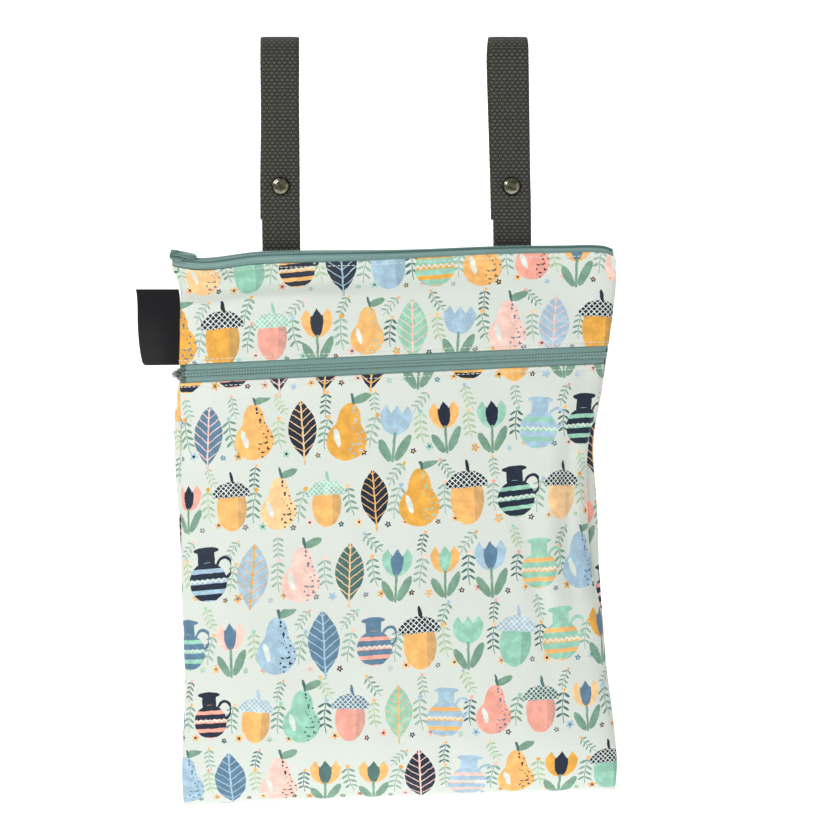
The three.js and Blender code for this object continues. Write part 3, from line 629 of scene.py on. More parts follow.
def printGroup():
    tree, given, out = shaderGroup(
        "gardenPrint",
        {"Vector": ("vector", (0, 0, 0)), "Ground": ("colour", ground), "Seed": ("number", 3.0)},
        {"Colour": "colour", "Ink": "number"},
    )
    vector = given.outputs["Vector"]
    wobble = node(tree, "ShaderNodeTexNoise", {"Vector": vector, "Scale": 260.0, "Detail": 1.0})
    shift = enlarged(vectorCalc("SUBTRACT", wobble.outputs["Color"], (0.5, 0.5, 0.5)), 0.0011)
    hand = vectorCalc("ADD", vector, shift)
    cells, flower, sprig = cellsGroup(), flowerGroup(), sprigGroup()
    colour = given.outputs["Ground"]
    ink = 0.0
    big = {"Across": 0.0305, "Down": 0.0455}
    large = [pearGroup(), jugGroup(), tulipGroup(), leafGroup(), acornGroup()]
    layers = [  # motifs, share of the cells that have one, and the lattice's offset, swing, jitter and size
        ([flower], 0.95, (0.0095, 0.0145, 0), 6.0, 2.6, 0.72),
        ([flower], 0.8, (0.0200, 0.0160, 0), 6.0, 2.2, 0.52),
        ([sprig], 0.8, (0.0150, -0.0165, 0), 1.6, 2.0, 0.84),
        ([sprig], 1.0, (0.0152, 0.0010, 0), 0.5, 1.6, 1.06),
        (large, 1.0, (0, 0, 0), 0.16, 2.4, 1.66),
    ]
    for number, (motifs, part, offset, swing, jitter, size) in enumerate(layers):
        seed = plus(given.outputs["Seed"], number * 7.0)
        used = useGroup(tree, cells, {"Vector": hand, "Seed": seed, **big, "Offset": offset, "Swing": swing,
                                      "Jitter": jitter, "Size": size})
        place, random, second, third = used.outputs[:4]
        warm = palette(second, orange, coral, peach, orange, mint, pink, orange, pale, mustard)
        cool = palette(third, navy, steel, navy, mint, navy, deepGreen, steel, navy, pale)
        green = palette(third, leafGreen, sage, softGreen, deepGreen, leafGreen, softGreen)
        for index, motif in enumerate(motifs):
            cold = (index + number) % 2
            main, accent = (cool, warm) if cold else (warm, cool)
            if motif == sprig:
                main, accent = green, warm
            own = enlarged(place, 1 / motifSizes.get(motif.name, 1.0))
            shape = useGroup(tree, motif, {"Place": own, "Main": main, "Accent": accent})
            share = part / len(motifs)
            chosen = matches(random, (index + 0.5) * share, share / 2)
            mask = times(shape.outputs["Mask"], chosen)
            colour = mix(mask, colour, shape.outputs["Colour"])
            ink = mask if isinstance(ink, float) else larger(ink, mask)
    connect(colour, out.inputs["Colour"])
    connect(ink, out.inputs["Ink"])
    return tree


print("print ready")


# Finishes
def clothMaterial():
    made, tree, shader = material("printedCloth", {
        "Sheen Weight": 0.03, "Sheen Roughness": 0.4, "Specular IOR Level": 0.12,
    })
    uv = node(tree, "ShaderNodeUVMap", uv_map="cloth").outputs[0]
    shape = node(tree, "ShaderNodeTexCoord").outputs["Object"]
    pattern = useGroup(tree, printGroup(), {"Vector": uv})
    wash = ease(noise(uv, 150.0, 3.0, 0.6), 0.38, 0.70)  # as if painted in thin colour
    thin = enlarged(pattern.outputs["Colour"], 1.3)
    paint = mix(times(wash, pattern.outputs["Ink"]), pattern.outputs["Colour"], thin)
    fade = noise(uv, 900.0, 2.0)
    worn = mix(times(fade, 0.03), paint, ground)
    tired = ease(noise(shape, 9.0, 3.0), 0.42, 0.75, 0.0, 0.05)
    colour = mix(tired, worn, tone(197, 208, 199))
    connect(colour, shader.inputs["Base Color"])
    rough = timesPlus(noise(shape, 60.0, 3.0), 0.16, 0.44)
    connect(rough, shader.inputs["Roughness"])
    x, y = parts(uv)
    knit = times(sine(times(x, 9000.0)), sine(times(y, 9000.0)))
    crease = noise(shape, 150.0, 3.0, 0.6)
    height = timesPlus(knit, 0.05, times(crease, 0.8))
    bumpInto(shader, height, 0.0006, 0.45)
    return made


def weaveGroup():  # herringbone ribs of a woven tape, along its length
    tree, given, out = shaderGroup(
        "tapeWeave", {"Vector": ("vector", (0, 0, 0)), "Rib": ("number", 0.0014), "Pick": ("number", 0.0010)},
        {"Height": "number", "HollowShade": "number"},
    )
    x, y = parts(given.outputs["Vector"])
    fold = bounce(y, given.outputs["Rib"])
    slant = plus(x, times(fold, 0.9))
    turn = over(slant, given.outputs["Pick"])
    wave = sine(times(turn, 2 * math.pi))
    rib = sine(times(over(y, given.outputs["Rib"]), math.pi))
    height = timesPlus(wave, 0.5, times(rib, 0.25))
    connect(height, out.inputs["Height"])
    # painted shade: a darkening share for the low parts of the weave
    connect(ease(height, 0.3, -0.6), out.inputs["HollowShade"])
    return tree


def tapeMaterial():
    made, tree, shader = material("zipTape", {
        "Sheen Weight": 0.25, "Sheen Roughness": 0.5, "Specular IOR Level": 0.2, "Roughness": 0.85,
    })
    uv = node(tree, "ShaderNodeUVMap", uv_map="cloth").outputs[0]
    weave = useGroup(tree, weaveGroup(), {"Vector": uv})
    light = mix(noise(uv, 400.0), tone(137, 172, 167), tone(153, 185, 179))
    # painted shade in the weave's hollows, over the tape's own colour
    colour = mix(times(weave.outputs["HollowShade"], 0.7), light, tone(88, 123, 119))
    connect(colour, shader.inputs["Base Color"])
    bumpInto(shader, weave.outputs["Height"], 0.00015, 0.8)
    return made


def plainMaterial(name, settings, light, dark, scale, bump):  # a smooth finish with soft variation
    made, tree, shader = material(name, settings)
    shape = node(tree, "ShaderNodeTexCoord").outputs["Object"]
    cloud = noise(shape, scale, 3.0)
    connect(mix(cloud, light, dark), shader.inputs["Base Color"])
    rough = shader.inputs["Roughness"].default_value
    connect(timesPlus(cloud, 0.12, rough - 0.06), shader.inputs["Roughness"])
    bumpInto(shader, cloud, bump, 0.5)
    return made


def snapMaterial():  # antique finish, blackened in the groove as patina, with painted shade on the rim
    made, tree, shader = material("snapMetal", {"Metallic": 0.95})
    shape = node(tree, "ShaderNodeTexCoord").outputs["Object"]
    rim = node(tree, "ShaderNodeAttribute", attribute_name="rim").outputs["Fac"]
    cloud = noise(shape, 420.0, 3.0)
    brass = mix(ease(cloud, 0.4, 0.65), tone(150, 148, 128), tone(96, 100, 74))
    # darker outer ring: patina in the groove, and painted shade on the rim edge
    patinaAndRimShade = ease(timesPlus(cloud, 0.08, rim), 0.84, 0.94)
    connect(mix(patinaAndRimShade, brass, tone(26, 26, 24)), shader.inputs["Base Color"])
    connect(timesPlus(patinaAndRimShade, 0.25, 0.16), shader.inputs["Roughness"])
    bumpInto(shader, cloud, 0.0001, 0.3)
    return made


webbingWeave = {"eyes": 0.0034, "row": 0.00222}


def webbingMaterial():
    made, tree, shader = material("webbing", {
        "Sheen Weight": 0.03, "Sheen Roughness": 0.5, "Specular IOR Level": 0.1,
    })
    uv = node(tree, "ShaderNodeUVMap", uv_map="cloth").outputs[0]
    x, y = parts(uv)
    row = over(y, webbingWeave["row"])
    stagger = times(calc("FLOORED_MODULO", calc("FLOOR", row), 2.0), 0.5)
    column = plus(over(x, webbingWeave["eyes"]), stagger)
    across = minus(calc("FRACT", column), 0.5)
    down = minus(calc("FRACT", row), 0.5)
    eye = vectorCalc("LENGTH", pair(times(across, 5.1), times(down, 2.0)))
    centre = ease(eye, 0.62, 0.30)
    ring = times(ease(eye, 0.42, 0.68), ease(eye, 1.25, 0.90))
    bar = times(ease(magnitude(down), 0.48, 0.20), ease(magnitude(across), 0.18, 0.25))
    tick = timesPlus(calc("COSINE", times(across, 12 * math.pi)), 0.22, 0.50)
    yarn = timesPlus(sine(times(x, 2 * math.pi / 0.00062)), 0.12, 0.1)
    height = larger(times(centre, 0.95), times(bar, tick))
    height = plus(minus(height, times(ring, 0.5)), yarn)
    # painted highlight and painted shade: raised yarn is coloured lighter and the hollows darker, on one dark
    # yarn
    light = ease(height, -0.35, 1.0)
    fuzz = noise(uv, 2500.0, 2.0)
    colour = mix(light, tone(22, 22, 21), tone(108, 107, 100))
    colour = mix(times(fuzz, 0.3), colour, tone(66, 66, 62))
    connect(colour, shader.inputs["Base Color"])
    connect(timesPlus(fuzz, 0.15, 0.72), shader.inputs["Roughness"])
    bumpInto(shader, height, 0.0004, 0.9)
    return made


cloth = clothMaterial()
tape = tapeMaterial()
webbing = webbingMaterial()
# painted highlight and painted shade: the coil's turns are tinted lighter than the tape and its core darker,
# lit and shaded copies of one nylon
coilPlastic = plainMaterial("zipCoil", {"Roughness": 0.42, "Specular IOR Level": 0.4},
                            tone(178, 204, 198), tone(154, 184, 178), 300.0, 0.0001)
coilShadeCore = plainMaterial("zipCoilShadeCore", {"Roughness": 0.7, "Specular IOR Level": 0.2},
                         tone(98, 130, 125), tone(82, 114, 110), 400.0, 0.0001)
tealMetal = plainMaterial("tealMetal", {"Roughness": 0.34, "Metallic": 0.15, "Coat Weight": 0.4},
                          tone(112, 146, 139), tone(90, 124, 118), 220.0, 0.0001)
greyMetal = plainMaterial("greyMetal", {"Roughness": 0.34, "Metallic": 0.9},
                          tone(158, 167, 164), tone(112, 122, 120), 260.0, 0.0001)
snapMetal = snapMaterial()
thread = plainMaterial("whiteThread", {"Roughness": 0.6, "Sheen Weight": 0.2},
                       tone(240, 243, 238), tone(215, 222, 214), 2000.0, 0.0001)
darkThread = plainMaterial("darkThread", {"Roughness": 0.7, "Sheen Weight": 0.2},
                           tone(66, 66, 64), tone(44, 44, 43), 2000.0, 0.0001)
satin = plainMaterial("labelSatin", {"Roughness": 0.42, "Specular IOR Level": 0.25, "Anisotropic": 0.4},
                      tone(24, 24, 28), tone(15, 15, 18), 90.0, 0.0003)
print("finishes ready")

# Cloth panels
panels = {
    "columns": 200, "edgeRound": 0.0008, "rowSpacing": 0.0018, "upperSpacing": 0.0016,
    "foldRows": [0.0, 0.00012, 0.0003, 0.0005, 0.0008, 0.0013, 0.0020, 0.0026, 0.0032, 0.0040],
}


def spacedRows(start, end, spacing, fineEnds):  # levels down a panel, closer together at its folded edges
    count = max(int((end - start) * bag["height"] / spacing), 4)
    rows = np.linspace(start, end, count)
    fine = np.array(panels["foldRows"]) / bag["height"]
    extra = [start + fine] if fineEnds[0] else []
    extra += [end - fine] if fineEnds[1] else []
    for item in extra:
        rows = rows[(rows < item.min() - 0.002) | (rows > item.max() + 0.002)]
    return np.unique(np.concatenate([rows, *extra]))


def seamColumns(count):  # from -1 to 1, closer together at the side seams
    even = np.linspace(-1, 1, count)
    return np.sign(even) * (1 - (1 - np.abs(even)) ** 1.25)


def makePanel(name, side, rows, foldedEdges, zipLevels, uvStart):
    across = seamColumns(panels["columns"])[None, :]
    down = rows[:, None]
    height = wrinkleHeight(side, across, down, zipLevels)
    rounding = np.zeros_like(down)
    for level in foldedEdges:
        near = np.clip(1 - np.abs(down - level) * bag["height"] / panels["edgeRound"], 0, 1)
        rounding = rounding + bag["clothThickness"] / 2 * (1 - np.sqrt(1 - near ** 2))
    outer = under(side, across, down, rounding - height)
    inner = under(side, across, down, bag["clothThickness"] - rounding - np.maximum(height, 0))
    middle = outer.shape[1] // 2
    across = arcLength(outer, 1)
    down = arcLength(outer[:, middle], 0)[:, None] + np.zeros_like(across)
    uv = np.stack([across - across[:, middle:middle + 1], -down], -1) + np.array(uvStart)
    if side == "back":
        uv[..., 0] *= -1
    return closedSheet(name, outer, inner, uv, cloth)


upperEnd = frontZip - zipHalf
lowerStart = frontZip + zipHalf
frontLevels = [topEdge, upperEnd, lowerStart]
upperPanel = makePanel("frontUpperCloth", "front",
                       spacedRows(topEdge, upperEnd, panels["upperSpacing"], (True, True)),
                       [topEdge, upperEnd], [topEdge, upperEnd], (0.31, 0.889))
lowerPanel = makePanel("frontLowerCloth", "front",
                       spacedRows(lowerStart, 1, panels["rowSpacing"], (True, False)),
                       [lowerStart], [lowerStart], (0.0, 0.012))
backPanel = makePanel("backCloth", "back", spacedRows(topEdge, 1, panels["rowSpacing"], (True, False)),
                      [topEdge], [topEdge], (0.52, 1.43))
ready(upperPanel, "printed_cloth", "front_upper_panel")
ready(lowerPanel, "printed_cloth", "front_lower_panel")
ready(backPanel, "printed_cloth", "back_panel")
print("cloth panels ready")


# Zip tapes
turnAcross = -1 + 4 / 24  # left of this the front zip turns back


def turnedEnd():  # directions of the front zip's turned end: towards the closed coil, and out from the tape
    turn = math.radians(bag["zipTurn"])
    return np.array([math.cos(turn), -math.sin(turn), 0]), np.array([-math.sin(turn), -math.cos(turn), 0])


def zipPlace(across, down, depth):  # on the front zip; its left end turns straight back to the side seam
    across, down, depth = np.broadcast_arrays(across, down, depth)
    on = under("front", np.maximum(across, turnAcross), down, depth)
    start = under("front", np.full(across.shape, turnAcross), down, np.full(across.shape, tapeInset))
    length = (-bag["seat"] / 2 - start[..., 1]) / math.sin(math.radians(bag["zipTurn"]))
    share = (turnAcross - across) / (1 + turnAcross)
    alongZip, outward = turnedEnd()
    turned = start - alongZip * (length * share)[..., None] + outward * (tapeInset - depth)[..., None]
    above = np.maximum(tapeInset + bag["tapeThickness"] - depth, 0)
    turned[..., 1] = np.minimum(turned[..., 1], -bag["seat"] / 2 - above)
    return np.where((across >= turnAcross)[..., None], on, turned)


def makeTape(name, place, across, down):
    outer = place(across, down, np.array(tapeInset))
    inner = place(across, down, np.array(tapeInset + bag["tapeThickness"]))
    return closedSheet(name, outer, inner, laidOut(outer), tape)


arch = {"partedTurn": 31, "shutTurn": 12, "partedEnd": 0.9, "fade": 0.006}  # the post parts the tapes
topColumns = seamColumns(260)[None, :]
ridgeX = skin("front", topColumns, 0.0)[..., 0]
shut = np.clip((ridgeX + halfWidth * arch["partedEnd"]) / arch["fade"], 0, 1)
firstTurn = arch["partedTurn"] - (arch["partedTurn"] - arch["shutTurn"]) * shut * shut * (3 - 2 * shut)
archTurns = np.radians(firstTurn + (90 - firstTurn) * np.linspace(0, 1, 12)[:, None])
belowArch = topEdge + hidden * np.array([0.25, 0.6, 1.0])[:, None] + 0 * topColumns
topRows = np.concatenate([topEdge * (1 - np.cos(archTurns)), belowArch])
for side in ("front", "back"):
    made = makeTape(f"topTape{side.title()}", lambda u, v, d, s=side: under(s, u, v, d), topColumns, topRows)
    ready(made, "zip_tape", f"top_zip_tape_{side}")
parting = bag["tapeParting"] / 2 / bag["height"]
turnedColumns = np.linspace(-1.08, turnAcross, 26)[:-1]
frontColumns = np.concatenate([turnedColumns, np.linspace(turnAcross, 1, 260)])[None, :]
upperRows = np.linspace(upperEnd - hidden, frontZip - parting, 14)[:, None]
lowerRows = np.linspace(frontZip + parting, lowerStart + hidden, 14)[:, None]
for level, rows in (("upper", upperRows), ("lower", lowerRows)):
    made = makeTape(f"frontTape{level.title()}", zipPlace, frontColumns, rows)
    ready(made, "zip_tape", f"front_zip_tape_{level}")
print("tapes ready")


# Rows of stitches and coil turns along a path
def rowTree():
    tree = bpy.data.node_groups.new("rowAlongPath", "GeometryNodeTree")
    for label, kind in (("Path", "Geometry"), ("Pitch", "Float"), ("Size", "Vector"), ("Unevenness", "Float"),
                        ("Finish", "Material")):
        tree.interface.new_socket(label, in_out="INPUT", socket_type=f"NodeSocket{kind}")
    tree.interface.new_socket("Geometry", in_out="OUTPUT", socket_type="NodeSocketGeometry")
    given = tree.nodes.new("NodeGroupInput")
    out = tree.nodes.new("NodeGroupOutput")
    curve = node(tree, "GeometryNodeMeshToCurve", {"Mesh": given.outputs["Path"]})
    spaced = node(tree, "GeometryNodeResampleCurve",
                  {"Curve": curve.outputs[0], "Length": given.outputs["Pitch"]}, mode="LENGTH")
    outward = node(tree, "GeometryNodeInputNamedAttribute", {"Name": "outward"}, data_type="FLOAT_VECTOR")
    tangent = tree.nodes.new("GeometryNodeInputTangent")
    facing = node(tree, "FunctionNodeAlignRotationToVector", {"Vector": tangent.outputs[0]}, axis="X")
    upright = node(tree, "FunctionNodeAlignRotationToVector",
                   {"Rotation": facing.outputs[0], "Vector": outward.outputs[0]}, axis="Z", pivot_axis="X")
    bead = node(tree, "GeometryNodeMeshUVSphere", {"Segments": 8, "Rings": 6, "Radius": 0.5})
    uneven = node(tree, "FunctionNodeRandomValue", {"Seed": 5}, data_type="FLOAT_VECTOR")
    low = node(tree, "ShaderNodeMath", {0: 1.0, 1: given.outputs["Unevenness"]}, operation="SUBTRACT")
    high = node(tree, "ShaderNodeMath", {0: 1.0, 1: given.outputs["Unevenness"]}, operation="ADD")
    connect(low.outputs[0], uneven.inputs[0])
    connect(high.outputs[0], uneven.inputs[1])
    scale = vectorCalc("MULTIPLY", given.outputs["Size"], uneven.outputs[0])
    placed = node(tree, "GeometryNodeInstanceOnPoints",
                  {"Points": spaced.outputs[0], "Instance": bead.outputs[0], "Rotation": upright.outputs[0],
                   "Scale": scale})
    real = node(tree, "GeometryNodeRealizeInstances", {"Geometry": placed.outputs[0]})
    smooth = node(tree, "GeometryNodeSetShadeSmooth", {"Geometry": real.outputs[0]})
    done = node(tree, "GeometryNodeSetMaterial",
                {"Geometry": smooth.outputs[0], "Material": given.outputs["Finish"]})
    connect(done.outputs[0], out.inputs[0])
    return tree


rowAlongPath = rowTree()


def makeRow(name, paths, outwards, pitch, size, uneven, finish):
    mesh = bpy.data.meshes.new(name)
    points = [tuple(p) for path in paths for p in path]
    edges, start = [], 0
    for path in paths:
        edges += [(start + k, start + k + 1) for k in range(len(path) - 1)]
        start += len(path)
    mesh.from_pydata(points, edges, [])
    outward = mesh.attributes.new("outward", "FLOAT_VECTOR", "POINT")
    outward.data.foreach_set("vector", np.concatenate(outwards).astype(np.float32).reshape(-1))
    obj = addObject(name, mesh)
    modifier = obj.modifiers.new("row", "NODES")
    modifier.node_group = rowAlongPath
    items = rowAlongPath.interface.items_tree
    sockets = {item.name: item.identifier for item in items if item.in_out == "INPUT"}
    for label, value in (("Pitch", pitch), ("Size", size), ("Unevenness", uneven), ("Finish", finish)):
        modifier[sockets[label]] = value
    obj.update_tag()
    made = bpy.data.meshes.new_from_object(obj.evaluated_get(bpy.context.evaluated_depsgraph_get()))
    obj.modifiers.remove(modifier)
    obj.data = made
    made.name = name
    return obj


def join(name, objects):  # one piece of several meshes, each with its own finish
    bpy.ops.object.select_all(action="DESELECT")
    for obj in objects:
        obj.select_set(True)
    bpy.context.view_layer.objects.active = objects[0]
    bpy.ops.object.join()
    objects[0].name = name
    return objects[0]


def onSide(side, across, down, height):  # path on a panel's face with its outward directions
    wrinkle = wrinkleHeight(side, across, down, frontLevels if side == "front" else [topEdge])
    path = under(side, across, down, -wrinkle - height)
    outward = under(side, across, down, -wrinkle - height - 0.001) - path
    return path, unit(outward)


stitches = {"pitch": 0.0031, "size": (0.0025, 0.0006, 0.00044), "height": 0.00005}
paths, outwards = [], []
across = np.linspace(-0.965, 0.975, 300)
inset = wrinkles["stitchInset"] / bag["height"]
for side, level in (("front", topEdge + inset), ("front", upperEnd - inset), ("front", lowerStart + inset),
                    ("back", topEdge + inset)):
    path, outward = onSide(side, across, np.full_like(across, level), stitches["height"])
    paths.append(path)
    outwards.append(outward)
topstitch = makeRow("zipTopstitching", paths, outwards, stitches["pitch"], stitches["size"], 0.12, thread)
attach(topstitch, "bag")

# Zip coils: a core coloured darker than the tape as painted shade inside the coil, and two rows of nylon
# turns over it, tinted lighter as painted highlight
coil = {
    "pitch": 0.0010, "size": (0.00062, 0.0019, 0.0011), "rowOut": 0.00094, "lift": 0.00105, "core": 0.84,
    "coreHeight": 0.72, "pastSlider": 0.0004, "reach": 0.975, "drop": 0.00036,
}


def coilCrown(place):
    return bag["coilHeight"] * (1 - 0.4 * place ** 4)


def tapeRidge(x):
    return levelHeight(0.0, x) - tapeInset


def onRidge(x, y, height):
    return roll(pointsFrom(x, y, tapeRidge(x) + height))


def makeCoil(name, cadNode, placeAt, ends, drop):  # drop: how far the tape falls away under its edges
    place = np.linspace(-1, 1, 9)[:, None]
    run = np.linspace(ends[0], ends[1], 360)[None, :]
    sideways = place * bag["coilWidth"] / 2 * coil["core"]
    top = placeAt(run, sideways, bag["seat"] + coilCrown(place) * coil["coreHeight"])
    base = placeAt(run, sideways, bag["seat"] * 0.2 - drop * place ** 2)
    made = [closedSheet(name, top, base, laidOut(top), coilShadeCore)]
    line = np.linspace(ends[0], ends[1], 400)
    for sign in (-1, 1):
        path = placeAt(line, sign * coil["rowOut"], coil["lift"])
        outward = placeAt(line, sign * coil["rowOut"], coil["lift"] + 0.001) - path
        step = np.linalg.norm(np.diff(path, axis=0), axis=-1)
        if sign > 0:
            skip = int(coil["pitch"] / 2 / step.mean() + 0.5)
            path, outward = path[skip:], outward[skip:]
        made.append(makeRow(f"{name}Row", [path], [unit(outward)], coil["pitch"], coil["size"], 0.03,
                            coilPlastic))
    return ready(join(name, made), "zip_coil", cadNode)


sliderLength = 0.0096
topSliderX = -halfWidth + sliderLength * 0.4
makeCoil("topCoil", "top_zip_coil", onRidge,
         (topSliderX + coil["pastSlider"], halfWidth * coil["reach"]), coil["drop"])
makeCoil("frontCoil", "front_zip_coil",
         lambda u, y, h: zipPlace(u, frontZip + y / bag["height"], tapeInset - h),
         (turnAcross - (1 + turnAcross) * 0.3, 1 - 1 / 24), 0)
print("coils ready")

# Webbing loops
loop = {
    "width": 0.025, "thickness": 0.0015, "spacing": 0.1495, "barRadius": 0.0127, "slack": 0.0008,
    "snapDrop": 0.0825, "tail": 0.021, "sewn": 0.026, "snapStack": 0.0033, "snapDiameter": 0.012,
    "edgeRipple": 0.00026, "rippleLength": 0.00222, "backShift": -0.0013, "shiftReach": 0.016,
    "step": 0.0004, "sewnStep": 0.0005, "flatMargin": 0.001,
}
strapRest = 1.5 * bag["seat"]  # room between the cloth and a strap that is sewn on it
# Places at the bar and at the bag, as shares of half the spacing
loopPlaces = {"left": (-0.992, -0.992), "right": (0.985, 1.024)}
frontRun = -(loop["snapStack"] + loop["thickness"]) / 2
backRun = -frontRun
loopRadius = loop["barRadius"] + loop["slack"] + loop["thickness"] / 2


def blend(first, second, start, end, t):
    return (end - t) / (end - start) * first + (t - start) / (end - start) * second


def smoothRun(points, each):  # centripetal curve through the points
    points = np.array(points, float)
    whole = np.concatenate([[2 * points[0] - points[1]], points, [2 * points[-1] - points[-2]]])
    run = []
    for k in range(1, len(whole) - 2):
        p = whole[k - 1:k + 3]
        knots = np.concatenate([[0], np.cumsum(np.sqrt(np.linalg.norm(np.diff(p, axis=0), axis=1)))])
        t = np.linspace(knots[1], knots[2], each, endpoint=False)[:, None]
        a = [blend(p[i], p[i + 1], knots[i], knots[i + 1], t) for i in range(3)]
        b = [blend(a[i], a[i + 1], knots[i], knots[i + 2], t) for i in range(2)]
        run.append(blend(b[0], b[1], knots[1], knots[2], t))
    return np.concatenate([*run, points[-1:]])


def evenRun(points, spacing):  # the same line with points at an even spacing
    length = np.concatenate([[0], np.cumsum(np.linalg.norm(np.diff(points, axis=0), axis=1))])
    places = np.linspace(0, length[-1], max(int(length[-1] / spacing), 2))
    return np.stack([np.interp(places, length, points[:, k]) for k in range(points.shape[1])], -1)


def acrossAt(x, down):
    edge = atSeam(np.mean(x) < 0, "", down)
    return np.arcsin(x / halfWidth / edge) / (math.pi / 2)


def onBack(down, x, height):
    return under("back", acrossAt(x, down), down, -height)


def makeLoop(name):
    atBar, atBag = (share * loop["spacing"] / 2 for share in loopPlaces[name])
    flatHalf = loop["snapDiameter"] / 2 + loop["flatMargin"]
    rest = strapRest + loop["thickness"] / 2
    lift = onBack(np.array(topEdge), np.array(atBag), np.array(rest))
    turns = np.radians(np.linspace(185, -5, 10))
    flatTop, flatEnd = flatHalf - loop["snapDrop"], -loop["snapDrop"] - flatHalf
    route = [(lift[1], lift[2]), (frontRun, flatEnd), (frontRun, flatTop)]
    route += [(loopRadius * math.cos(a), loopRadius * math.sin(a)) for a in turns]
    route += [(backRun, flatTop), (backRun, flatEnd),
              (backRun + loop["thickness"], -loop["snapDrop"] - loop["tail"])]
    run = evenRun(smoothRun(route, 24), loop["step"])
    share = np.clip(-run[:, 1] / bag["topDrop"], 0, 1)
    past = (np.arange(len(run)) - np.argmax(run[:, 1])) * loop["step"] / loop["shiftReach"]
    shift = loop["backShift"] * np.clip(past / 2 + 0.5, 0, 1)
    middle = np.stack([atBar + (atBag - atBar) * share + shift, run[:, 0], run[:, 1]], -1)
    tangent = unit(np.gradient(run, axis=0))
    normal = np.stack([np.zeros(len(run)), tangent[:, 1], -tangent[:, 0]], -1)
    place = np.linspace(-1, 1, 15)
    count = int(loop["sewn"] / loop["sewnStep"])
    sewn = np.linspace(topEdge + loop["sewn"] / bag["height"], topEdge, count)[:-1, None]
    length = np.concatenate([np.linspace(0, loop["sewn"], count)[:-1],
                             loop["sewn"] + np.arange(len(run)) * loop["step"]])
    ripple = loop["edgeRipple"] * (np.abs(np.sin(length * math.pi / loop["rippleLength"])) - 1)[:, None]
    half = loop["width"] / 2 + ripple * np.abs(place) ** 8
    sideways = place[None, :] * half
    crown = 1 - 0.55 * np.abs(place[None, :]) ** 10
    faces = []
    for sign in (1, -1):
        height = rest + sign * crown * loop["thickness"] / 2 + 0 * sewn
        low = onBack(sewn, atBag + sideways[:count - 1], height)
        free = middle[:, None, :] + sign * crown[..., None] * normal[:, None, :] * loop["thickness"] / 2
        free[..., 0] += sideways[count - 1:]
        faces.append(np.concatenate([low, free]))
    uv = pointsFrom(place[None, :] * loop["width"] / 2, length[:, None])
    strap = closedSheet(f"webbing{name.title()}", faces[0], faces[1], uv, webbing)
    ready(strap, "webbing", f"strap_{name}")
    return strap, middle, normal, atBag


loopRuns = {name: makeLoop(name) for name in loopPlaces}
print("loops ready")

# Stitching on the webbing: a crossed box where it is sewn on the back, and a row on the free end's hem
webStitches = {
    "pitch": 0.0026, "size": (0.0023, 0.0006, 0.0005), "boxInset": 0.0028, "boxTop": 0.0055, "hem": 0.0055,
    "lift": 0.00005,
}


def lineOnStrap(atBag, start, end):  # start and end are places sideways and down the sewn part
    steps = np.linspace(0, 1, 30)
    sideways = start[0] + (end[0] - start[0]) * steps
    down = topEdge + (start[1] + (end[1] - start[1]) * steps) / bag["height"]
    rise = strapRest + loop["thickness"]
    path = onBack(down, atBag + sideways, np.full_like(down, rise + webStitches["lift"]))
    outward = onBack(down, atBag + sideways, np.full_like(down, rise + 0.001)) - path
    return path, unit(outward)


for name, (strap, middle, normal, atBag) in loopRuns.items():
    edge = loop["width"] / 2 - webStitches["boxInset"]
    low, high = loop["sewn"] - webStitches["boxInset"], webStitches["boxTop"]
    corners = [(-edge, high), (edge, high), (edge, low), (-edge, low)]
    lines = [(corners[k], corners[(k + 1) % 4]) for k in range(4)]
    lines += [(corners[0], corners[2]), (corners[1], corners[3])]
    made = [lineOnStrap(atBag, *line) for line in lines]
    index = len(middle) - int(webStitches["hem"] / loop["step"])
    steps = np.linspace(-edge, edge, 20)[:, None]
    for sign in (1, -1):
        start = middle[index] + sign * normal[index] * (loop["thickness"] / 2 + webStitches["lift"])
        outward = np.repeat(sign * normal[index][None, :], len(steps), axis=0)
        made.append((start + steps * np.array([1, 0, 0]), outward))
    rows = makeRow(f"webbingStitches{name.title()}", [m[0] for m in made], [m[1] for m in made],
                   webStitches["pitch"], webStitches["size"], 0.1, darkThread)
    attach(rows, "bag")

# Snaps, turned about the axis of their post
snap = {"post": 0.004, "cap": 0.0021, "socket": 0.0008, "back": 0.0011, "sides": 48}
capProfile = [  # shares of the radius and of the cap's height
    (0.96, 0.00), (0.99, 0.12), (1.00, 0.28), (0.98, 0.42), (0.93, 0.52), (0.86, 0.545), (0.80, 0.56),
    (0.77, 0.62), (0.74, 0.72), (0.62, 0.85), (0.45, 0.95), (0.24, 0.99), (0.00, 1.00),
]


def turnedPiece(name, outline, x, y, z, finish):  # outline: radius and height along the axis, which is +Y
    mesh = bpy.data.meshes.new(name)
    form = bmesh.new()
    steps = np.linspace(0, 2 * math.pi, snap["sides"], endpoint=False)
    rings = []
    for radius, height in outline:
        if radius < 1e-6:
            rings.append([form.verts.new((x, y + height, z))])
        else:
            rings.append([form.verts.new((x + radius * math.cos(a), y + height, z + radius * math.sin(a)))
                          for a in steps])
    for first, second in zip(rings, rings[1:]):
        for k in range(snap["sides"]):
            nextK = (k + 1) % snap["sides"]
            corners = [first[k % len(first)], first[nextK % len(first)], second[nextK % len(second)],
                       second[k % len(second)]]
            form.faces.new(list(dict.fromkeys(corners)))
    bmesh.ops.recalc_face_normals(form, faces=form.faces)
    for face in form.faces:
        face.smooth = True
    form.to_mesh(mesh)
    form.free()
    rim = mesh.attributes.new("rim", "FLOAT", "POINT")
    reach = [math.hypot(v.co.x - x, v.co.z - z) / (loop["snapDiameter"] / 2) for v in mesh.vertices]
    rim.data.foreach_set("value", reach)
    mesh.materials.append(finish)
    return addObject(name, mesh)


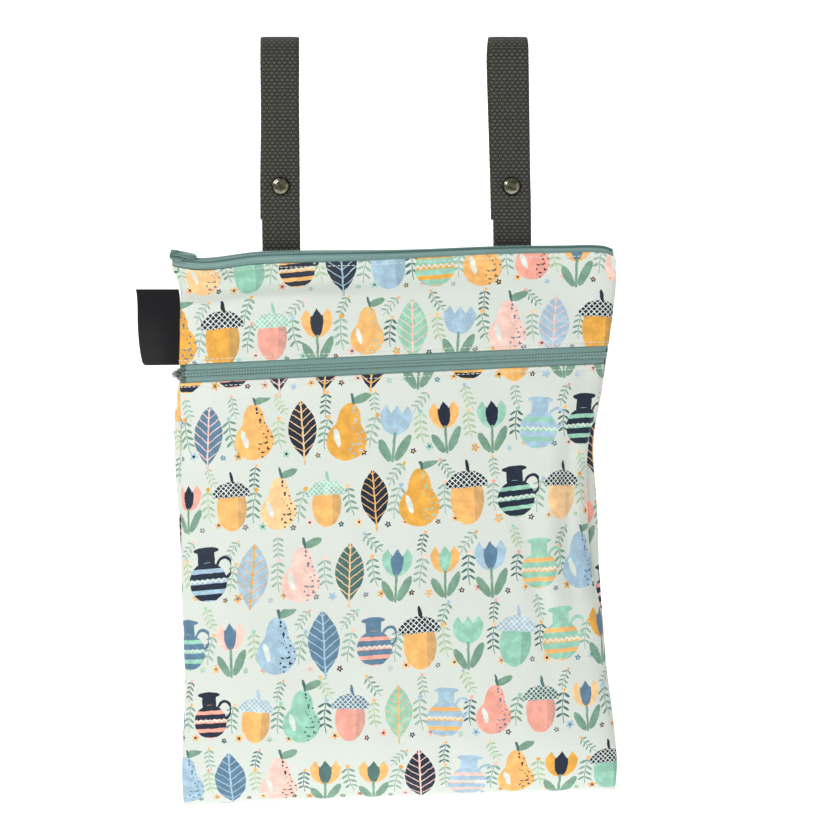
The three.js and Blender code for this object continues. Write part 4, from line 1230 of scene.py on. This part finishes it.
for name, (atBar, atBag) in loopPlaces.items():
    share = loop["snapDrop"] / bag["topDrop"]
    x = (atBar + (atBag - atBar) * share) * loop["spacing"] / 2
    radius = loop["snapDiameter"] / 2
    post = snap["post"] / 2
    clear = loop["thickness"] / 2 + bag["seat"]
    runs = loop["snapStack"] + loop["thickness"]
    socketFace = runs / 2 - bag["seat"] / 2
    socketFloor = socketFace - snap["socket"]
    brim = radius * 0.86
    cap = [(0, -socketFloor), (post * 0.9, -socketFloor), (post * 0.9, -socketFace), (brim, -socketFace),
           (brim, -clear), (post, -clear), (post, clear)]
    cap += [(r * radius, clear + h * snap["cap"]) for r, h in capProfile]
    flange, seatDepth, behind = radius * 0.84, -socketFace - bag["seat"], -runs - clear
    stud = [(0, behind - snap["back"]), (radius * 0.6, behind - snap["back"]),
            (radius * 0.78, behind - snap["back"] * 0.8), (flange, behind - snap["back"] / 2),
            (flange, behind), (post, behind), (post, clear - runs), (radius * 0.8, clear - runs),
            (radius * 0.8, seatDepth), (post * 0.7, seatDepth),
            (post * 0.7, -socketFloor - bag["seat"] - 0.0001), (0, -socketFloor - bag["seat"])]
    for part, outline in (("cap", cap), ("stud", stud)):
        turned = [(r, -h) for r, h in outline]
        piece = turnedPiece(f"snap{part.title()}{name.title()}", turned, x, frontRun, -loop["snapDrop"],
                            snapMetal)
        ready(piece, "snap_metal", f"snap_{part}_{name}")
print("snaps ready")


# Sliders and pulls: the CAD solids with their edges rounded
def rounded(name, cadNode, finish, body, radius):
    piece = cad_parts[cadNode].copy()
    piece.data = piece.data.copy()
    piece.name = name
    for key in [k for k in piece.keys() if k.startswith("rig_")]:
        del piece[key]
    bpy.context.scene.collection.objects.link(piece)
    form = bmesh.new()
    form.from_mesh(piece.data)
    bmesh.ops.transform(form, matrix=piece.matrix_world, verts=form.verts)
    bmesh.ops.remove_doubles(form, verts=form.verts, dist=1e-6)
    bmesh.ops.dissolve_limit(form, angle_limit=math.radians(2), verts=form.verts, edges=form.edges)
    sharp = [edge for edge in form.edges
             if len(edge.link_faces) == 2 and edge.calc_face_angle() > math.radians(30)]
    bmesh.ops.bevel(form, geom=sharp, offset=radius, segments=3, profile=0.5, affect="EDGES",
                    clamp_overlap=True)
    for face in form.faces:
        face.smooth = True
    form.to_mesh(piece.data)
    form.free()
    piece.parent = None
    piece.matrix_world.identity()
    piece.data.materials.clear()
    piece.data.materials.append(finish)
    slot = {"tealMetal": "teal_metal", "greyMetal": "grey_metal"}[finish.name]
    return ready(piece, slot, cadNode, body=body)


rounded("topSlider", "top_zip_slider", tealMetal, "bag", 0.00022)
rounded("topPull", "top_zip_pull", tealMetal, "top_pull", 0.00025)
rounded("frontSlider", "front_zip_slider", greyMetal, "bag", 0.00022)
rounded("frontPull", "front_zip_pull", greyMetal, "front_pull", 0.00025)
print("sliders ready")

# Side label, folded in the left seam
label = {
    "width": 0.028, "height": 0.047, "thickness": 0.001, "drop": 0.022, "twist": 27, "corner": 0.0026,
    "layer": 0.00045, "roundShare": 0.9, "bow": 0.0006, "rows": 120, "columns": 36,
}


def labelFace(half):  # from the front layer round the fold to the back layer, half the fold's thickness out
    turns = np.radians(np.linspace(90, -90, 9)[1:-1])
    flat = np.linspace(0, 1, label["columns"])
    share = np.concatenate([flat, np.ones_like(turns), flat[::-1]])[None, :]
    foldOut = np.concatenate([0 * flat, np.cos(turns), 0 * flat])[None, :]
    height = half * np.concatenate([0 * flat + 1, np.sin(turns), 0 * flat - 1])[None, :]
    j = np.linspace(0, 1, label["rows"])[:, None]
    seam = skin("front", np.full_like(j, -1.0), (label["drop"] + j * label["height"]) / bag["height"])
    turn = math.radians(label["twist"]) * j * j
    corner = np.clip((j * label["height"] - label["height"] + label["corner"]) / label["corner"], 0, 1)
    lost = label["corner"] * (1 - np.sqrt(1 - label["roundShare"] * corner * corner)) + label["thickness"] / 2
    reach = share * (label["width"] - lost) + half * foldOut
    bow = label["bow"] * np.sin(reach / label["width"] * 3.0) * np.sin(j * 4.0 + 0.6)
    x = seam[..., 0] - bag["seat"] - reach * np.cos(turn) - height * np.sin(turn)
    return pointsFrom(x, reach * np.sin(turn) - height * np.cos(turn) - bow, seam[..., 2] + 0 * reach)


front = labelFace(label["thickness"] / 2)
back = labelFace(label["thickness"] / 2 - label["layer"])
sideLabel = ready(closedSheet("sideLabel", front, back, laidOut(front), satin), "label_satin", "side_label")
print("label ready")

# Camera, light, floor and backdrop
view = {"width": 0.535, "centre": (0.0107, -0.2285), "lens": 85}
camera = bpy.data.cameras.new("camera")
camera.lens = view["lens"]
camera.sensor_width = 36
cameraObject = addObject("camera", camera)
distance = view["width"] * view["lens"] / camera.sensor_width
cameraObject.location = (view["centre"][0], -distance, view["centre"][1])
cameraObject.rotation_euler = (math.pi / 2, 0, 0)
bpy.context.scene.camera = cameraObject

sweep = {"floor": -0.95, "wall": 2.6, "bend": 0.8, "half": 5.0, "front": -4.0, "top": 4.0}
angles = np.radians(np.linspace(0, 90, 24))
profile = [(sweep["front"], sweep["floor"])]
profile += [(sweep["wall"] - sweep["bend"] + sweep["bend"] * math.sin(a),
             sweep["floor"] + sweep["bend"] * (1 - math.cos(a))) for a in angles]
profile += [(sweep["wall"], sweep["top"])]
mesh = bpy.data.meshes.new("sweep")
corners = [(x, y, z) for y, z in profile for x in (-sweep["half"], sweep["half"])]
mesh.from_pydata(corners, [], [(2 * k, 2 * k + 1, 2 * k + 3, 2 * k + 2) for k in range(len(profile) - 1)])
mesh.polygons.foreach_set("use_smooth", [True] * len(mesh.polygons))
paper = plainMaterial("backdrop", {"Roughness": 0.9, "Specular IOR Level": 0.1, "Emission Strength": 0.4,
                                  "Emission Color": (1, 1, 1, 1)}, tone(252, 252, 252),
                      tone(248, 248, 248), 3.0, 0.0001)
mesh.materials.append(paper)
backdrop = addObject("sweep", mesh)


def addLamp(name, place, target, size, power):
    lamp = bpy.data.lights.new(name, "AREA")
    lamp.size = size
    lamp.energy = power
    obj = addObject(name, lamp)
    obj.location = place
    obj.rotation_euler = (Vector(target) - Vector(place)).to_track_quat("-Z", "Y").to_euler()


addLamp("keyLight", (-1.1, -1.5, 0.9), (0, 0, -0.25), 0.7, 23)
addLamp("fillLight", (1.4, -1.3, 0.1), (0, 0, -0.3), 1.2, 3)
addLamp("wallLight", (0, 1.3, 2.4), (0, 2.6, -0.3), 1.8, 60)
world = bpy.data.worlds.new("studio")
world.use_nodes = True
background = world.node_tree.nodes["Background"]
background.inputs["Color"].default_value = (1, 1, 1, 1)
background.inputs["Strength"].default_value = 0.29
bpy.context.scene.world = world
bpy.context.scene.view_settings.view_transform = "Standard"
print("studio ready")
